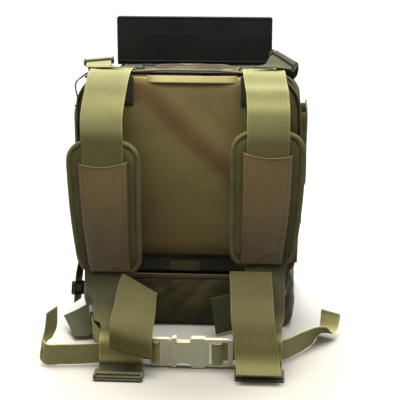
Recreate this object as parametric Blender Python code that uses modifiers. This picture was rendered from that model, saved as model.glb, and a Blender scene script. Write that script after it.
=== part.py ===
"""Tackle backpack: a small camouflage pack that carries a hard tackle case in its outer compartment.

Frame: metres, +Z up, -Y towards the wearer's back, +X to the wearer's right. The origin lies on the flat
base, on the left-right centre line, 11 mm towards the wearer from the middle of the base. The case lid
stands open and the straps and belt lie loose on the floor.
"""
import math

import bmesh
import bpy
from mathutils import Matrix, Vector

# ---------------------------------------------------------------- driving dimensions
SHELL_HALF = 0.135          # half width of the main compartment
SHELL_BACK = -0.0755        # wearer's side of the main compartment
SHELL_FAR = 0.0375          # far side of the main compartment
SHELL_LOW = 0.0685
SHELL_TOP = 0.318           # height of the top edge on the wearer's side
TOP_FALL = 0.012            # how much lower the top is on the far side
SHOULDER_ROUND = 0.045      # radius of the pack's rounded shoulders
FABRIC = 0.003              # padded fabric wall
BASE_HIGH = 0.0655          # height of the bottom compartment
BASE_HALF = 0.131
BASE_BACK = -0.088
BASE_FAR = 0.110

PANEL_HALF = 0.114          # padded back panel
PANEL_BACK = -0.088
PANEL_LOW = 0.088
PANEL_TOP = 0.3195

WEBBING = 0.050             # shoulder webbing
BELT = 0.025                # waist and compression webbing
LIFTER = 0.030              # upper lifter webbing
THICK = 0.0014              # thickness of every webbing
GAP = 0.0005                # clearance between touching pieces

PAD_HALF = 0.0435
PAD_FRONT = -0.1165
PAD_DEEP = 0.010
PAD_LONG = 0.165
SLEEVE_HALF = 0.0290
SLEEVE_LONG = 0.137
STRAP_Y = PAD_FRONT - 0.0022  # plane of the webbing where it runs through the pad
SIDES = {"left": -1, "right": 1}
PAD_X = {"left": -0.0988, "right": 0.0978}
PAD_LOW = {"left": 0.077, "right": 0.091}

CASE_HALF = 0.0990          # hard case
CASE_BACK = 0.0445
CASE_FAR = 0.1065
CASE_LOW = 0.0680
CASE_TOP = 0.3040
CASE_WALL = 0.0022
LID_AXIS = Vector((0.0, 0.0435, 0.3065))
LID_HIGH = 0.0645
KNUCKLES_X = (-0.048, 0.044)

BELT_Y = -0.212             # plane of the closed side-release buckle
BELT_Z = 0.0187
ZIP_Y = -0.0700             # plane of the main zip track
ARC_X = SHELL_HALF - SHOULDER_ROUND
ARC_Z = SHELL_TOP - SHOULDER_ROUND

OLIVE = (0.165, 0.160, 0.070)
CAMO = (0.130, 0.115, 0.055)
KHAKI = (0.330, 0.320, 0.150)
DARK_GREEN = (0.075, 0.080, 0.045)
BLACK = (0.020, 0.021, 0.020)
BUCKLE = (0.300, 0.290, 0.210)


# ---------------------------------------------------------------- scene and helpers
for old in list(bpy.data.objects):
    bpy.data.objects.remove(old, do_unlink=True)


def collection(name):
    made = bpy.data.collections.new(name)
    bpy.context.scene.collection.children.link(made)
    return made


PARTS = collection("tackle_backpack")
CUTTERS = collection("cutters")


def material(name, colour, roughness, metallic=0.0):
    made = bpy.data.materials.new(name)
    made.use_nodes = True
    shader = made.node_tree.nodes["Principled BSDF"]
    shader.inputs["Base Color"].default_value = (*colour, 1.0)
    shader.inputs["Roughness"].default_value = roughness
    shader.inputs["Metallic"].default_value = metallic
    return made


def add(name, mesh, finish, home=PARTS):
    """Link a mesh or curve as a named object with its own material."""
    made = bpy.data.objects.new(name, mesh)
    if finish is not None:
        colour, roughness = finish
        mesh.materials.append(material(name, colour, roughness))
    home.objects.link(made)
    return made


def side_of(axis, sign):
    """Pick the edges whose middle lies on one side along an axis."""
    return lambda middle: middle["XYZ".index(axis)] * sign > 0


def box_mesh(name, low, high, rounds=(), fall=0.0):
    """A box from corner to corner. Each round bevels the edges along one axis that its test picks."""
    low = Vector(low)
    high = Vector(high)
    size = high - low
    middle = (low + high) / 2
    shape = bmesh.new()
    bmesh.ops.create_cube(shape, size=1.0)
    for axis, pick, radius, segments in rounds:
        along = "XYZ".index(axis)
        edges = []
        for edge in shape.edges:
            run = edge.verts[1].co - edge.verts[0].co
            straight = abs(run[along]) > 0.999 * run.length and run.length > 0.5
            if straight and pick((edge.verts[0].co + edge.verts[1].co) / 2):
                edges.append(edge)
        bmesh.ops.scale(shape, vec=size, verts=shape.verts)
        bmesh.ops.bevel(shape, geom=edges, offset=radius, segments=segments, profile=0.5, affect="EDGES")
        bmesh.ops.scale(shape, vec=[1 / value for value in size], verts=shape.verts)
    bmesh.ops.scale(shape, vec=size, verts=shape.verts)
    bmesh.ops.translate(shape, vec=middle, verts=shape.verts)
    if fall:
        for vert in shape.verts:
            share = (vert.co.y - low.y) / size.y
            lift = max(0.0, (vert.co.z - (high.z - SHOULDER_ROUND)) / SHOULDER_ROUND)
            vert.co.z -= fall * share * lift
    mesh = bpy.data.meshes.new(name)
    shape.to_mesh(mesh)
    shape.free()
    return mesh


def block(name, low, high, finish, rounds=(), soft=0.0, segments=1, fall=0.0):
    made = add(name, box_mesh(name, low, high, rounds, fall), finish)
    if soft:
        bevel = made.modifiers.new("edges", "BEVEL")
        bevel.width = soft
        bevel.segments = segments
        bevel.limit_method = "ANGLE"
        bevel.angle_limit = math.radians(40)
    return made


def combine(target, operand, operation):
    operand.hide_render = True
    operand.display_type = "WIRE"
    change = target.modifiers.new(operand.name, "BOOLEAN")
    change.operation = operation
    change.solver = "EXACT"
    change.object = operand


def cut(target, low, high, rounds=(), fall=0.0):
    """Cut a box out of a piece; the cutter follows the piece."""
    name = f"{target.name}_cutter_{len(target.modifiers)}"
    tool = add(name, box_mesh(name, low, high, rounds, fall), None, CUTTERS)
    tool.parent = target
    combine(target, tool, "DIFFERENCE")


def join(target, low, high, rounds=()):
    """Join a box to a piece that it clearly overlaps."""
    name = f"{target.name}_joined_{len(target.modifiers)}"
    tool = add(name, box_mesh(name, low, high, rounds), None, CUTTERS)
    tool.parent = target
    combine(target, tool, "UNION")


def cylinder(name, centre, radius, length, axis, finish, home=PARTS, sides=16):
    shape = bmesh.new()
    bmesh.ops.create_cone(shape, cap_ends=True, segments=sides, radius1=radius, radius2=radius, depth=length)
    turn = {"X": Matrix.Rotation(math.pi / 2, 3, "Y"), "Y": Matrix.Rotation(math.pi / 2, 3, "X"),
            "Z": Matrix.Identity(3)}[axis]
    bmesh.ops.rotate(shape, cent=(0, 0, 0), matrix=turn, verts=shape.verts)
    bmesh.ops.translate(shape, vec=centre, verts=shape.verts)
    mesh = bpy.data.meshes.new(name)
    shape.to_mesh(mesh)
    shape.free()
    return add(name, mesh, finish, home)


def join_cylinder(target, centre, radius, length, axis):
    name = f"{target.name}_boss_{len(target.modifiers)}"
    tool = cylinder(name, centre, radius, length, axis, None, CUTTERS)
    tool.parent = target
    combine(target, tool, "UNION")


def drill(target, centre, radius, length, axis):
    name = f"{target.name}_drill_{len(target.modifiers)}"
    tool = cylinder(name, centre, radius, length, axis, None, CUTTERS)
    tool.parent = target
    combine(target, tool, "DIFFERENCE")


def pivot(piece, point):
    """Put a piece's origin on its joint's axis without moving its shape."""
    point = Vector(point)
    piece.data.transform(Matrix.Translation(-point))
    piece.location = point
    for tool in piece.children:
        tool.data.transform(Matrix.Translation(-point))


def smooth(points, steps):
    """Points along a smooth curve through the given points."""
    points = [Vector(point) for point in points]
    ends = [2 * points[0] - points[1], *points, 2 * points[-1] - points[-2]]
    path = []
    for before, start, end, after in zip(ends, ends[1:], ends[2:], ends[3:]):
        for step in range(steps):
            t = step / steps
            path.append(0.5 * (2 * start + (end - before) * t
                               + (2 * before - 5 * start + 4 * end - after) * t * t
                               + (3 * start - before - 3 * end + after) * t * t * t))
    path.append(points[-1])
    return path


def strap(name, points, across, width, finish, steps=3, thickness=THICK):
    """Webbing: a strip swept along a smooth path, given one width direction or one for each point."""
    if isinstance(across[0], (int, float)):
        across = [across] * len(points)
    path = smooth(points, steps)
    sideways = smooth(across, steps)
    shape = bmesh.new()
    rows = []
    for centre, direction in zip(path, sideways):
        half = direction.normalized() * width / 2
        rows.append((shape.verts.new(centre - half), shape.verts.new(centre + half)))
    for (low, high), (next_low, next_high) in zip(rows, rows[1:]):
        shape.faces.new((low, high, next_high, next_low))
    bmesh.ops.recalc_face_normals(shape, faces=shape.faces)
    mesh = bpy.data.meshes.new(name)
    shape.to_mesh(mesh)
    shape.free()
    made = add(name, mesh, finish)
    sheet = made.modifiers.new("thickness", "SOLIDIFY")
    sheet.thickness = thickness
    sheet.offset = 0.0
    sheet.use_even_offset = True
    return made


def tube(name, points, radius, finish, steps=3, resolution=1):
    """A round cord or piping: a bevelled curve through a smooth path."""
    curve = bpy.data.curves.new(name, "CURVE")
    curve.dimensions = "3D"
    curve.bevel_depth = radius
    curve.bevel_resolution = resolution
    curve.use_fill_caps = True
    path = smooth(points, steps)
    spline = curve.splines.new("POLY")
    spline.points.add(len(path) - 1)
    for control, place in zip(spline.points, path):
        control.co = (*place, 1.0)
    return add(name, curve, finish)


# ---------------------------------------------------------------- fabric body
def main_compartment():
    outline = (("Y", side_of("Z", 1), SHOULDER_ROUND, 6), ("Y", side_of("Z", -1), 0.014, 2))
    shell = block("main_compartment", (-SHELL_HALF, SHELL_BACK, SHELL_LOW),
                  (SHELL_HALF, SHELL_FAR, SHELL_TOP), (CAMO, 0.85), outline, fall=TOP_FALL)
    inner = (("Y", side_of("Z", 1), SHOULDER_ROUND - FABRIC, 6), ("Y", side_of("Z", -1), 0.011, 2))
    cut(shell, (-SHELL_HALF + FABRIC, SHELL_BACK + FABRIC, SHELL_LOW + FABRIC),
        (SHELL_HALF - FABRIC, SHELL_FAR - FABRIC, SHELL_TOP - FABRIC), inner, fall=TOP_FALL)
    cut(shell, (-0.055, -0.064, SHELL_TOP - 0.040), (0.055, 0.026, SHELL_TOP + 0.02))
    return shell


def back_panel():
    """The padded back panel, with the stiff sheet that stands behind it inside the shell."""
    outline = (("Y", side_of("Z", 1), 0.030, 4), ("Y", side_of("Z", -1), 0.012, 2))
    block("back_panel", (-PANEL_HALF, PANEL_BACK, PANEL_LOW), (PANEL_HALF, SHELL_BACK - GAP, PANEL_TOP),
          (OLIVE, 0.8), outline, soft=0.004, segments=2)
    sheet_back = SHELL_BACK + FABRIC + GAP
    block("frame_sheet", (-0.105, sheet_back, SHELL_LOW + 0.008), (0.105, sheet_back + 0.002, 0.290),
          (BLACK, 0.5), (("Y", side_of("Z", 1), 0.02, 3),))


def lumbar_band():
    face = SHELL_BACK - GAP
    block("lumbar_band", (-0.112, face - 0.003, BASE_HIGH + 0.004), (0.112, face, PANEL_LOW - GAP),
          (BLACK, 0.9), soft=0.001)
    block("lumbar_tab", (-0.024, face - 0.006, 0.0705), (0.016, face - 0.003 - GAP, 0.0845),
          (OLIVE, 0.8), soft=0.0008)


def bottom_compartment():
    corners = (("Z", lambda middle: True, 0.018, 3), ("X", side_of("Z", -1), 0.006, 1))
    base = block("bottom_compartment", (-BASE_HALF, BASE_BACK, 0.0), (BASE_HALF, BASE_FAR, BASE_HIGH),
                 (CAMO, 0.6), corners)
    cut(base, (-BASE_HALF + FABRIC, BASE_BACK + FABRIC, FABRIC),
        (BASE_HALF - FABRIC, BASE_FAR - FABRIC, BASE_HIGH + 0.02), (("Z", lambda middle: True, 0.015, 3),))
    rim = [(x, BASE_BACK + 0.002 + 0.005 * max(0.0, abs(x) - 0.10) / 0.02, BASE_HIGH + 0.0022)
           for x in (-0.120, -0.10, -0.05, 0.0, 0.05, 0.10, 0.120)]
    tube("base_piping", rim, 0.0018, (OLIVE, 0.7))


def top_flap():
    """The soft lid over the mouth of the main compartment, hinged along its far edge."""
    half, back, far = 0.060, -0.0645, 0.0330
    shape = bmesh.new()
    bmesh.ops.create_grid(shape, x_segments=6, y_segments=6, size=0.5)
    for vert in shape.verts:
        u, v = 2 * vert.co.x, 2 * vert.co.y
        y = back + (far - back) * (vert.co.y + 0.5)
        fall = TOP_FALL * (y - SHELL_BACK) / (SHELL_FAR - SHELL_BACK)
        crown = 0.0062 * (1 - u ** 4) * (1 - v ** 2)
        vert.co = (half * u, y, SHELL_TOP + 0.0022 - fall + crown)
    mesh = bpy.data.meshes.new("top_flap")
    shape.to_mesh(mesh)
    shape.free()
    flap = add("top_flap", mesh, (CAMO, 0.8))
    sheet = flap.modifiers.new("thickness", "SOLIDIFY")
    sheet.thickness = 0.0026
    sheet.offset = 0.0
    sheet.use_even_offset = True
    pivot(flap, (0.0, far + 0.001, SHELL_TOP - TOP_FALL + 0.003))


def side_pockets():
    """Shallow pockets high on both sides, open at the top."""
    for side, sign in SIDES.items():
        near = sign * (SHELL_HALF + GAP)
        outer = sign * (SHELL_HALF + 0.0100)
        low, high = sorted((near, outer))
        pocket = block(f"side_pocket_{side}", (low, -0.040, 0.170), (high, 0.030, 0.268), (OLIVE, 0.8),
                       (("X", lambda middle: True, 0.010, 2),))
        cut(pocket, (low + 0.0018, -0.0375, 0.173), (high - 0.0018, 0.0275, 0.28))


def piping():
    """The black zip of the main compartment: over the top edge and down both rounded shoulders."""
    radius = SHOULDER_ROUND + 0.0017
    arc = [(ARC_X + radius * math.cos(turn), ZIP_Y, ARC_Z + radius * math.sin(turn))
           for turn in (math.pi / 2 * step / 6 for step in range(7))]
    right = [(SHELL_HALF + 0.0017, ZIP_Y, z) for z in (0.130, 0.175, 0.225)] + arc
    left = [(-x, y, z) for x, y, z in reversed(right)]
    tube("main_zip", right + [(0.045, ZIP_Y, SHELL_TOP + 0.0017), (-0.045, ZIP_Y, SHELL_TOP + 0.0017)] + left,
         0.0012, (BLACK, 0.5), steps=2)


def zip_slider(name, centre, turn):
    """A zip slider astride the track, with its own frame turned to the track's direction."""
    body = block(name, (-0.0055, -0.0036, 0.0022), (0.0055, 0.0036, 0.0050), (BLACK, 0.4), soft=0.0008)
    body.location = centre
    body.rotation_euler = (0.0, turn, 0.0)
    return body


def zip_pull(name, pin, direction, length):
    """A flat pull tab that swings on a pin along Y; it starts at the pin and points along direction."""
    tab = block(name, (0.0, -0.0022, -0.0009), (length, 0.0022, 0.0009), (BLACK, 0.45),
                (("Z", side_of("X", 1), 0.0018, 2),))
    tab.location = pin
    tab.rotation_euler = (0.0, -math.atan2(direction[1], direction[0]), 0.0)
    return tab


def sliders_and_pulls():
    top_track = SHELL_TOP + 0.0022
    zip_slider("zip_slider_top", (-0.0575, ZIP_Y, top_track), 0.0)
    zip_pull("zip_pull_top", (-0.0545, ZIP_Y, top_track + 0.0066), (1.0, 0.0), 0.0150)
    turn = math.radians(SIDE_SLIDER_TURN)
    radius = SHOULDER_ROUND + 0.0022
    centre = (-ARC_X - radius * math.sin(turn), ZIP_Y, ARC_Z + radius * math.cos(turn))
    zip_slider("zip_slider_side", centre, -turn)
    zip_pull("zip_pull_side", PULL_PIN, PULL_RUN, 0.0130)
    cord = [Vector(PULL_PIN) + Vector(step) for step in CORD_STEPS]
    tube("zip_pull_cord", cord, 0.0009, (BLACK, 0.8), steps=2, resolution=2)


SIDE_SLIDER_TURN = 36.0     # degrees round the left shoulder's arc, from the top
PULL_PIN = (-0.1215, ZIP_Y, 0.3165)
PULL_RUN = (-0.80, -0.60)
CORD_STEPS = [(-0.0111, 0.0, -0.0083), (-0.0127, -0.0010, -0.0098), (-0.0138, -0.0028, -0.0118),
              (-0.0141, -0.0048, -0.0144), (-0.0138, -0.0066, -0.0174), (-0.0131, -0.0080, -0.0206),
              (-0.0122, -0.0088, -0.0240), (-0.0114, -0.0091, -0.0276), (-0.0108, -0.0092, -0.0313),
              (-0.0104, -0.0092, -0.0351)]


# ---------------------------------------------------------------- outer compartment and hard case
def case_sleeve():
    sleeve = block("case_sleeve", (-0.1085, SHELL_FAR + 0.0030, 0.0700), (0.1085, 0.1125, 0.2500),
                   (CAMO, 0.8), (("Z", side_of("Y", 1), 0.010, 2),))
    cut(sleeve, (-0.1060, SHELL_FAR + 0.0050, 0.0720), (0.1060, 0.1100, 0.2700),
        (("Z", side_of("Y", 1), 0.008, 2),))


def case_tub():
    tub = block("case_tub", (-CASE_HALF, CASE_BACK, CASE_LOW + 0.005), (CASE_HALF, CASE_FAR, CASE_TOP),
                (BLACK, 0.4), (("Z", lambda middle: True, 0.004, 1),))
    wall = CASE_WALL
    cut(tub, (-CASE_HALF + wall, CASE_BACK + wall, CASE_LOW + 0.005 + wall),
        (CASE_HALF - wall, CASE_FAR - wall, CASE_TOP + 0.02))
    for x in KNUCKLES_X:
        join(tub, (x - 0.004, 0.0418, 0.2960), (x + 0.004, CASE_BACK + 0.001, LID_AXIS.z - 0.0005))
        join_cylinder(tub, (x, LID_AXIS.y, LID_AXIS.z), 0.0026, 0.0080, "X")
        drill(tub, (x, LID_AXIS.y, LID_AXIS.z), 0.0015, 0.0100, "X")
    for x in (-0.008, 0.008):
        join(tub, (x - 0.0015, CASE_FAR - 0.0005, 0.2810), (x + 0.0015, LATCH_PIN.y + 0.0022, 0.2885))
        drill(tub, (x, LATCH_PIN.y, LATCH_PIN.z), 0.0013, 0.0060, "X")


def case_lid():
    """The lid, standing open: its outer face looks towards the wearer and its rim away."""
    back, low = LID_AXIS.y - 0.0050, LID_AXIS.z + 0.0030
    high = LID_AXIS.z + LID_HIGH
    lid = block("case_lid", (-0.0995, back, low), (0.0995, LID_AXIS.y + 0.0018, high), (BLACK, 0.35),
                (("Y", side_of("Z", 1), 0.002, 1),))
    cut(lid, (-0.0973, back + 0.0022, low + 0.0022), (0.0973, LID_AXIS.y + 0.01, high - 0.0022))
    for x in KNUCKLES_X:
        for off in (-0.0065, 0.0065):
            join(lid, (x + off - 0.0020, LID_AXIS.y - 0.0024, LID_AXIS.z),
                 (x + off + 0.0020, LID_AXIS.y + 0.0012, low + 0.0030))
            join_cylinder(lid, (x + off, LID_AXIS.y, LID_AXIS.z), 0.0022, 0.0040, "X")
            drill(lid, (x + off, LID_AXIS.y, LID_AXIS.z), 0.0015, 0.0060, "X")
    pivot(lid, LID_AXIS)
    for side, x in zip(SIDES, KNUCKLES_X):
        cylinder(f"lid_hinge_pin_{side}", (x, LID_AXIS.y, LID_AXIS.z), 0.0011, 0.0168, "X", (BUCKLE, 0.3),
                 sides=12)


LATCH_PIN = Vector((0.0, 0.1118, 0.2850))
LATCH_OPEN = math.radians(62)


def case_latch():
    """A swing latch on the far side of the tub. It is modelled closed and then swung open."""
    hook_top = LID_AXIS.z + 0.0076
    latch = block("case_latch", (-0.0055, LATCH_PIN.y - 0.0018, LATCH_PIN.z - 0.0020),
                  (0.0055, LATCH_PIN.y + 0.0012, hook_top), (BLACK, 0.4))
    join(latch, (-0.0055, 0.1045, LID_AXIS.z + 0.0056), (0.0055, LATCH_PIN.y, hook_top))
    drill(latch, LATCH_PIN, 0.0013, 0.03, "X")
    pivot(latch, LATCH_PIN)
    latch.rotation_euler = (-LATCH_OPEN, 0.0, 0.0)
    cylinder("latch_pin", LATCH_PIN, 0.0009, 0.0190, "X", (BUCKLE, 0.3), sides=10)


def case_tray():
    """The lift-out tray at the top of the case, and the dividers that slot into it."""
    inner_back = CASE_BACK + CASE_WALL + 0.0008
    inner_far = CASE_FAR - CASE_WALL - 0.0008
    half = CASE_HALF - CASE_WALL - 0.0008
    wall = 0.0014
    tray = block("case_tray", (-half, inner_back, 0.2580), (half, inner_far, 0.3010), (OLIVE, 0.4))
    cut(tray, (-half + wall, inner_back + wall, 0.2580 + wall), (half - wall, inner_far - wall, 0.3200))
    for number, x in enumerate((-0.048, 0.0, 0.048), 1):
        block(f"tray_divider_{number}", (x - 0.0007, inner_back + wall + GAP, 0.2580 + wall + GAP),
              (x + 0.0007, inner_far - wall - GAP, 0.2960), (OLIVE, 0.4))


def front_pocket():
    pocket = block("front_pocket", (-0.088, 0.1130, 0.0800), (0.088, 0.1330, 0.2050), (CAMO, 0.8),
                   (("Y", lambda middle: True, 0.012, 2),), soft=0.002)
    cut(pocket, (-0.086, 0.1150, 0.0820), (0.086, 0.1310, 0.1990))
    cut(pocket, (-0.072, 0.1185, 0.1900), (0.072, 0.1275, 0.2200))
    block("front_zip_slider", (-0.068, 0.1195, 0.2056), (-0.058, 0.1265, 0.2086), (BLACK, 0.4), soft=0.0007)


# ---------------------------------------------------------------- shoulder straps
def web_slider(name, place, frame, width, depth, finish):
    """A three-bar slider for webbing that runs along local Y through local z = 0. The end bars lie
    below the webbing and the middle bar above it, so it can travel along straight webbing."""
    half, deep = width / 2, depth / 2
    slot = (THICK + 0.0008) / 2
    inside = half - 0.0026
    bar = depth * 0.15
    low, high = -slot - 0.0016, slot + 0.0016
    made = block(name, (-half, -deep, low), (half, deep, high), finish,
                 (("Z", lambda middle: True, 0.002, 1),))
    cut(made, (-inside, -deep - 0.01, -slot), (inside, deep + 0.01, slot))
    cut(made, (-inside, bar, -slot + 0.0002), (inside, deep + 0.01, high + 0.01))
    cut(made, (-inside, -deep - 0.01, -slot + 0.0002), (inside, -bar, high + 0.01))
    cut(made, (-inside, -deep + 0.0045, low - 0.01), (inside, deep - 0.0045, slot - 0.0002))
    made.matrix_world = Matrix.Translation(place) @ frame.to_4x4()
    return made


def frame_from(across, along):
    """Axes for a slider: local X across the webbing, local Y along it."""
    along = Vector(along).normalized()
    across = Vector(across)
    across = (across - along * across.dot(along)).normalized()
    return Matrix((across, along, across.cross(along))).transposed()


# Height at which the webbing lies flat on the floor inside a slider
FLOOR_WEB = 0.0036
SLIDER_DEEP = 0.0220
STRAP_SLIDER_Y = {"left": -0.2470, "right": -0.2370}
STRAP_FOOT_X = {"left": -0.0660, "right": 0.0925}


def shoulder_webbing(side):
    """One run of 50 mm webbing: sewn on the pack's top, through the pad, over the belt, to its slider."""
    x = PAD_X[side]
    top_x = SIDES[side] * 0.0905
    foot = STRAP_FOOT_X[side]
    low = PAD_LOW[side]
    slide_y = STRAP_SLIDER_Y[side]
    belt_front = slide_y + 0.0235
    lift = low - PAD_LOW["left"]
    points = [(top_x, -0.034, 0.3152), (top_x, -0.056, 0.3197), (top_x, -0.073, 0.3228),
              (0.85 * top_x + 0.15 * x, -0.0900, 0.3205), (0.6 * top_x + 0.4 * x, -0.1005, 0.3105),
              (0.35 * top_x + 0.65 * x, -0.1085, 0.2970 + lift / 2),
              (0.12 * top_x + 0.88 * x, -0.1143, 0.2820 + 0.7 * lift), (x, -0.1174, 0.2690 + lift),
              (x, STRAP_Y, 0.2560 + lift), (x, STRAP_Y, 0.2380 + lift),
              (x, STRAP_Y, 0.1900), (x, STRAP_Y, 0.1200), (x, STRAP_Y, low + 0.004),
              (x * 0.985, STRAP_Y - 0.006, low - 0.010),
              (0.6 * x + 0.4 * foot, -0.1480, low - 0.0245), (0.35 * x + 0.65 * foot, -0.1850, 0.0450),
              (foot, belt_front + 0.0130, 0.0480), (foot, belt_front, 0.0350), (foot, belt_front - 0.0010, 0.0140),
              (foot, belt_front - 0.0040, 0.0060), (foot, belt_front - 0.0100, FLOOR_WEB),
              (foot, slide_y, FLOOR_WEB), (foot, slide_y - 0.0090, FLOOR_WEB)]
    strap(f"shoulder_webbing_{side}", points, (1, 0, 0), WEBBING, (KHAKI, 0.85), steps=2)
    web_slider(f"strap_slider_{side}", (foot, slide_y, FLOOR_WEB), Matrix.Identity(3), WEBBING + 0.006,
               SLIDER_DEEP, (OLIVE, 0.5))


def shoulder_pad(side):
    """A flat foam pad, and the smooth sleeve panel on its face that the webbing slides through."""
    x = PAD_X[side]
    low = PAD_LOW[side]
    high = low + PAD_LONG
    outline = (("Y", side_of("Z", 1), 0.022, 4), ("Y", side_of("Z", -1), 0.016, 3))
    pad = block(f"shoulder_pad_{side}", (x - PAD_HALF, PAD_FRONT, low),
                (x + PAD_HALF, PAD_FRONT + PAD_DEEP, high), (OLIVE, 0.8), outline, soft=0.003, segments=1)
    sleeve_low = low + 0.004
    face = STRAP_Y - THICK / 2 - GAP
    sleeve = block(f"pad_sleeve_{side}", (x - SLEEVE_HALF, face - 0.0016, sleeve_low),
                   (x + SLEEVE_HALF, PAD_FRONT - GAP, sleeve_low + SLEEVE_LONG), (CAMO, 0.55), soft=0.0008)
    cut(sleeve, (x - SLEEVE_HALF + 0.0022, face, sleeve_low - 0.01),
        (x + SLEEVE_HALF - 0.0022, PAD_FRONT + 0.01, sleeve_low + SLEEVE_LONG + 0.01))
    for piece in (pad, sleeve):
        pivot(piece, (x, PAD_FRONT, low))


def anchor_patch(side):
    near, outer = 0.0636, 0.1100
    low, high = sorted((SIDES[side] * near, SIDES[side] * outer))
    block(f"anchor_patch_{side}", (low, PANEL_BACK - GAP - 0.0018, 0.2815), (high, PANEL_BACK - GAP, 0.3175),
          (DARK_GREEN, 0.8), soft=0.0005)


def strap_tails():
    """The loose ends of the shoulder webbing, hanging in front from the foot of each pad."""
    left = [(-0.0530, -0.1418, 0.0748), (-0.0535, -0.1540, 0.0732), (-0.0538, -0.1740, 0.0668),
            (-0.0540, -0.1990, 0.0580), (-0.0535, -0.2180, 0.0560), (-0.0530, -0.2340, 0.0450),
            (-0.0525, -0.2400, 0.0260)]
    turned = [(0.87, -0.34, -0.36), (0.90, -0.28, -0.33), (0.95, -0.16, -0.26), (0.97, -0.06, -0.22),
              (0.97, 0.0, -0.22), (0.97, 0.0, -0.25), (0.97, 0.0, -0.25)]
    strap("strap_tail_left", left, turned, WEBBING, (KHAKI, 0.85))
    right = [(0.0795, -0.1330, 0.0893), (0.0802, -0.1520, 0.0868), (0.0820, -0.1850, 0.0735),
             (0.0845, -0.2120, 0.0590), (0.0875, -0.2290, 0.0385), (0.0905, -0.2400, 0.0195),
             (0.0928, -0.2550, 0.0100)]
    strap("strap_tail_right", right, (1.0, 0.0, 0.0), WEBBING, (KHAKI, 0.85))


def lower_anchors():
    """Dark green ends of the lower anchor webbing, sewn under the pack's back edge."""
    flat = (0.0, 0.15, 0.99)
    left = [(-0.0950, -0.0940, 0.0290), (-0.1050, -0.1080, 0.0250), (-0.1170, -0.1195, 0.0190),
            (-0.1300, -0.1222, 0.0135), (-0.1440, -0.1235, 0.0105)]
    right = [(0.0780, -0.0950, 0.0280), (0.0640, -0.1020, 0.0275), (0.0480, -0.1110, 0.0265),
             (0.0340, -0.1190, 0.0255)]
    tilted = [flat, (-0.15, 0.55, 0.80), (-0.25, 0.75, 0.60), (-0.35, 0.82, 0.42), (-0.42, 0.85, 0.22)]
    upright = [flat, flat, (0.0, 0.20, 0.97), (-0.15, 0.10, 0.97)]
    for side, points, ends in (("left", left, tilted), ("right", right, upright)):
        strap(f"lower_anchor_{side}", points, ends, 0.046, (DARK_GREEN, 0.8))


LIFTER_CENTRE = {"left": Vector((-0.1110, -0.0450, 0.3266)), "right": Vector((0.1130, -0.0450, 0.3299))}
LIFTER_ALONG = {"left": Vector((-0.10, 0.97, 0.05)).normalized(),
                "right": Vector((0.20, 0.95, 0.10)).normalized()}
LIFTER_FRONT = {"left": 0.018, "right": -0.013}     # how far the front end lies to one side
LIFTER_ACROSS = {"left": (1.0, 0.10, 0.08), "right": (0.866, 0.0, -0.50)}


def lifter(side):
    """Upper lifter webbing from the shoulder webbing back to the pack's top, with its slider."""
    centre = LIFTER_CENTRE[side]
    along = LIFTER_ALONG[side]
    across = LIFTER_ACROSS[side]
    sign = SIDES[side]
    run = [centre + along * step for step in (-0.018, -0.009, 0.0, 0.009, 0.018)]
    front = [centre - along * 0.038 + Vector((LIFTER_FRONT[side], 0.0, 0.0010)), centre - along * 0.028]
    rear = [centre + along * 0.032 - Vector((0.0, 0.0, 0.0060)), Vector((sign * 0.1175, 0.0000, 0.3135)),
            Vector((sign * 0.1150, 0.0110, 0.3092))]
    level = (1.0, 0.0, 0.0)
    turning = Vector(across).lerp(Vector(level), 0.6)
    ways = [level, turning] + [across] * 6 + [turning, level]
    strap(f"lifter_webbing_{side}", front + run + rear, ways, LIFTER, (OLIVE, 0.85), steps=2)
    web_slider(f"lifter_slider_{side}", centre, frame_from(across, along), LIFTER + 0.0066, 0.018,
               (BLACK, 0.5))


# ---------------------------------------------------------------- waist belt and buckle
def belt_webbing():
    upright = (0.0, 0.0, 1.0)
    y = BELT_Y
    left = [(-0.0236, y + 0.0040, BELT_Z), (-0.0238, y - 0.0030, BELT_Z), (-0.0273, y - 0.0047, BELT_Z),
            (-0.0303, y - 0.0028, BELT_Z), (-0.0307, y + 0.0032, BELT_Z), (-0.0360, y + 0.0050, BELT_Z),
            (-0.0700, y + 0.0030, 0.0160), (-0.1050, y - 0.0010, 0.0140), (-0.1360, y - 0.0050, 0.0132),
            (-0.1540, y - 0.0060, 0.0138), (-0.1600, y + 0.0030, 0.0160), (-0.1570, y + 0.0130, 0.0230),
            (-0.1535, y + 0.0200, 0.0330), (-0.1522, y + 0.0230, 0.0470), (-0.1515, y + 0.0240, 0.0570)]
    left_across = [upright] * 9 + [(0.0, 0.10, 0.99), (0.10, 0.45, 0.85), (0.30, 0.85, -0.10),
                                   (0.40, 0.90, -0.10), (0.36, 0.93, 0.0), (0.32, 0.95, 0.0)]
    strap("belt_webbing_left", left, left_across, BELT, (OLIVE, 0.85), steps=2)
    right = [(0.0375, y + 0.0030, BELT_Z), (0.0385, y - 0.0030, BELT_Z), (0.0435, y - 0.0045, BELT_Z),
             (0.0487, y - 0.0030, BELT_Z), (0.0500, y + 0.0035, BELT_Z), (0.0560, y + 0.0068, BELT_Z),
             (0.0740, y + 0.0095, 0.0170), (0.0960, y + 0.0140, 0.0148), (0.1200, y + 0.0240, 0.0142),
             (0.1395, y + 0.0460, 0.0142), (0.1550, y + 0.0680, 0.0138), (0.1655, y + 0.0850, 0.0120),
             (0.1715, y + 0.0980, 0.0072), (0.1752, y + 0.1050, 0.0115), (0.1770, y + 0.1070, 0.0205),
             (0.1778, y + 0.1075, 0.0300)]
    right_across = [upright] * 9 + [(0.05, 0.05, 0.99), (0.15, -0.15, 0.97), (0.45, -0.50, 0.70),
                                    (0.75, -0.60, 0.10), (0.85, -0.50, 0.0), (0.90, -0.40, 0.05),
                                    (0.92, -0.38, -0.10)]
    strap("belt_webbing_right", right, right_across, BELT, (OLIVE, 0.85), steps=2)


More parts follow.
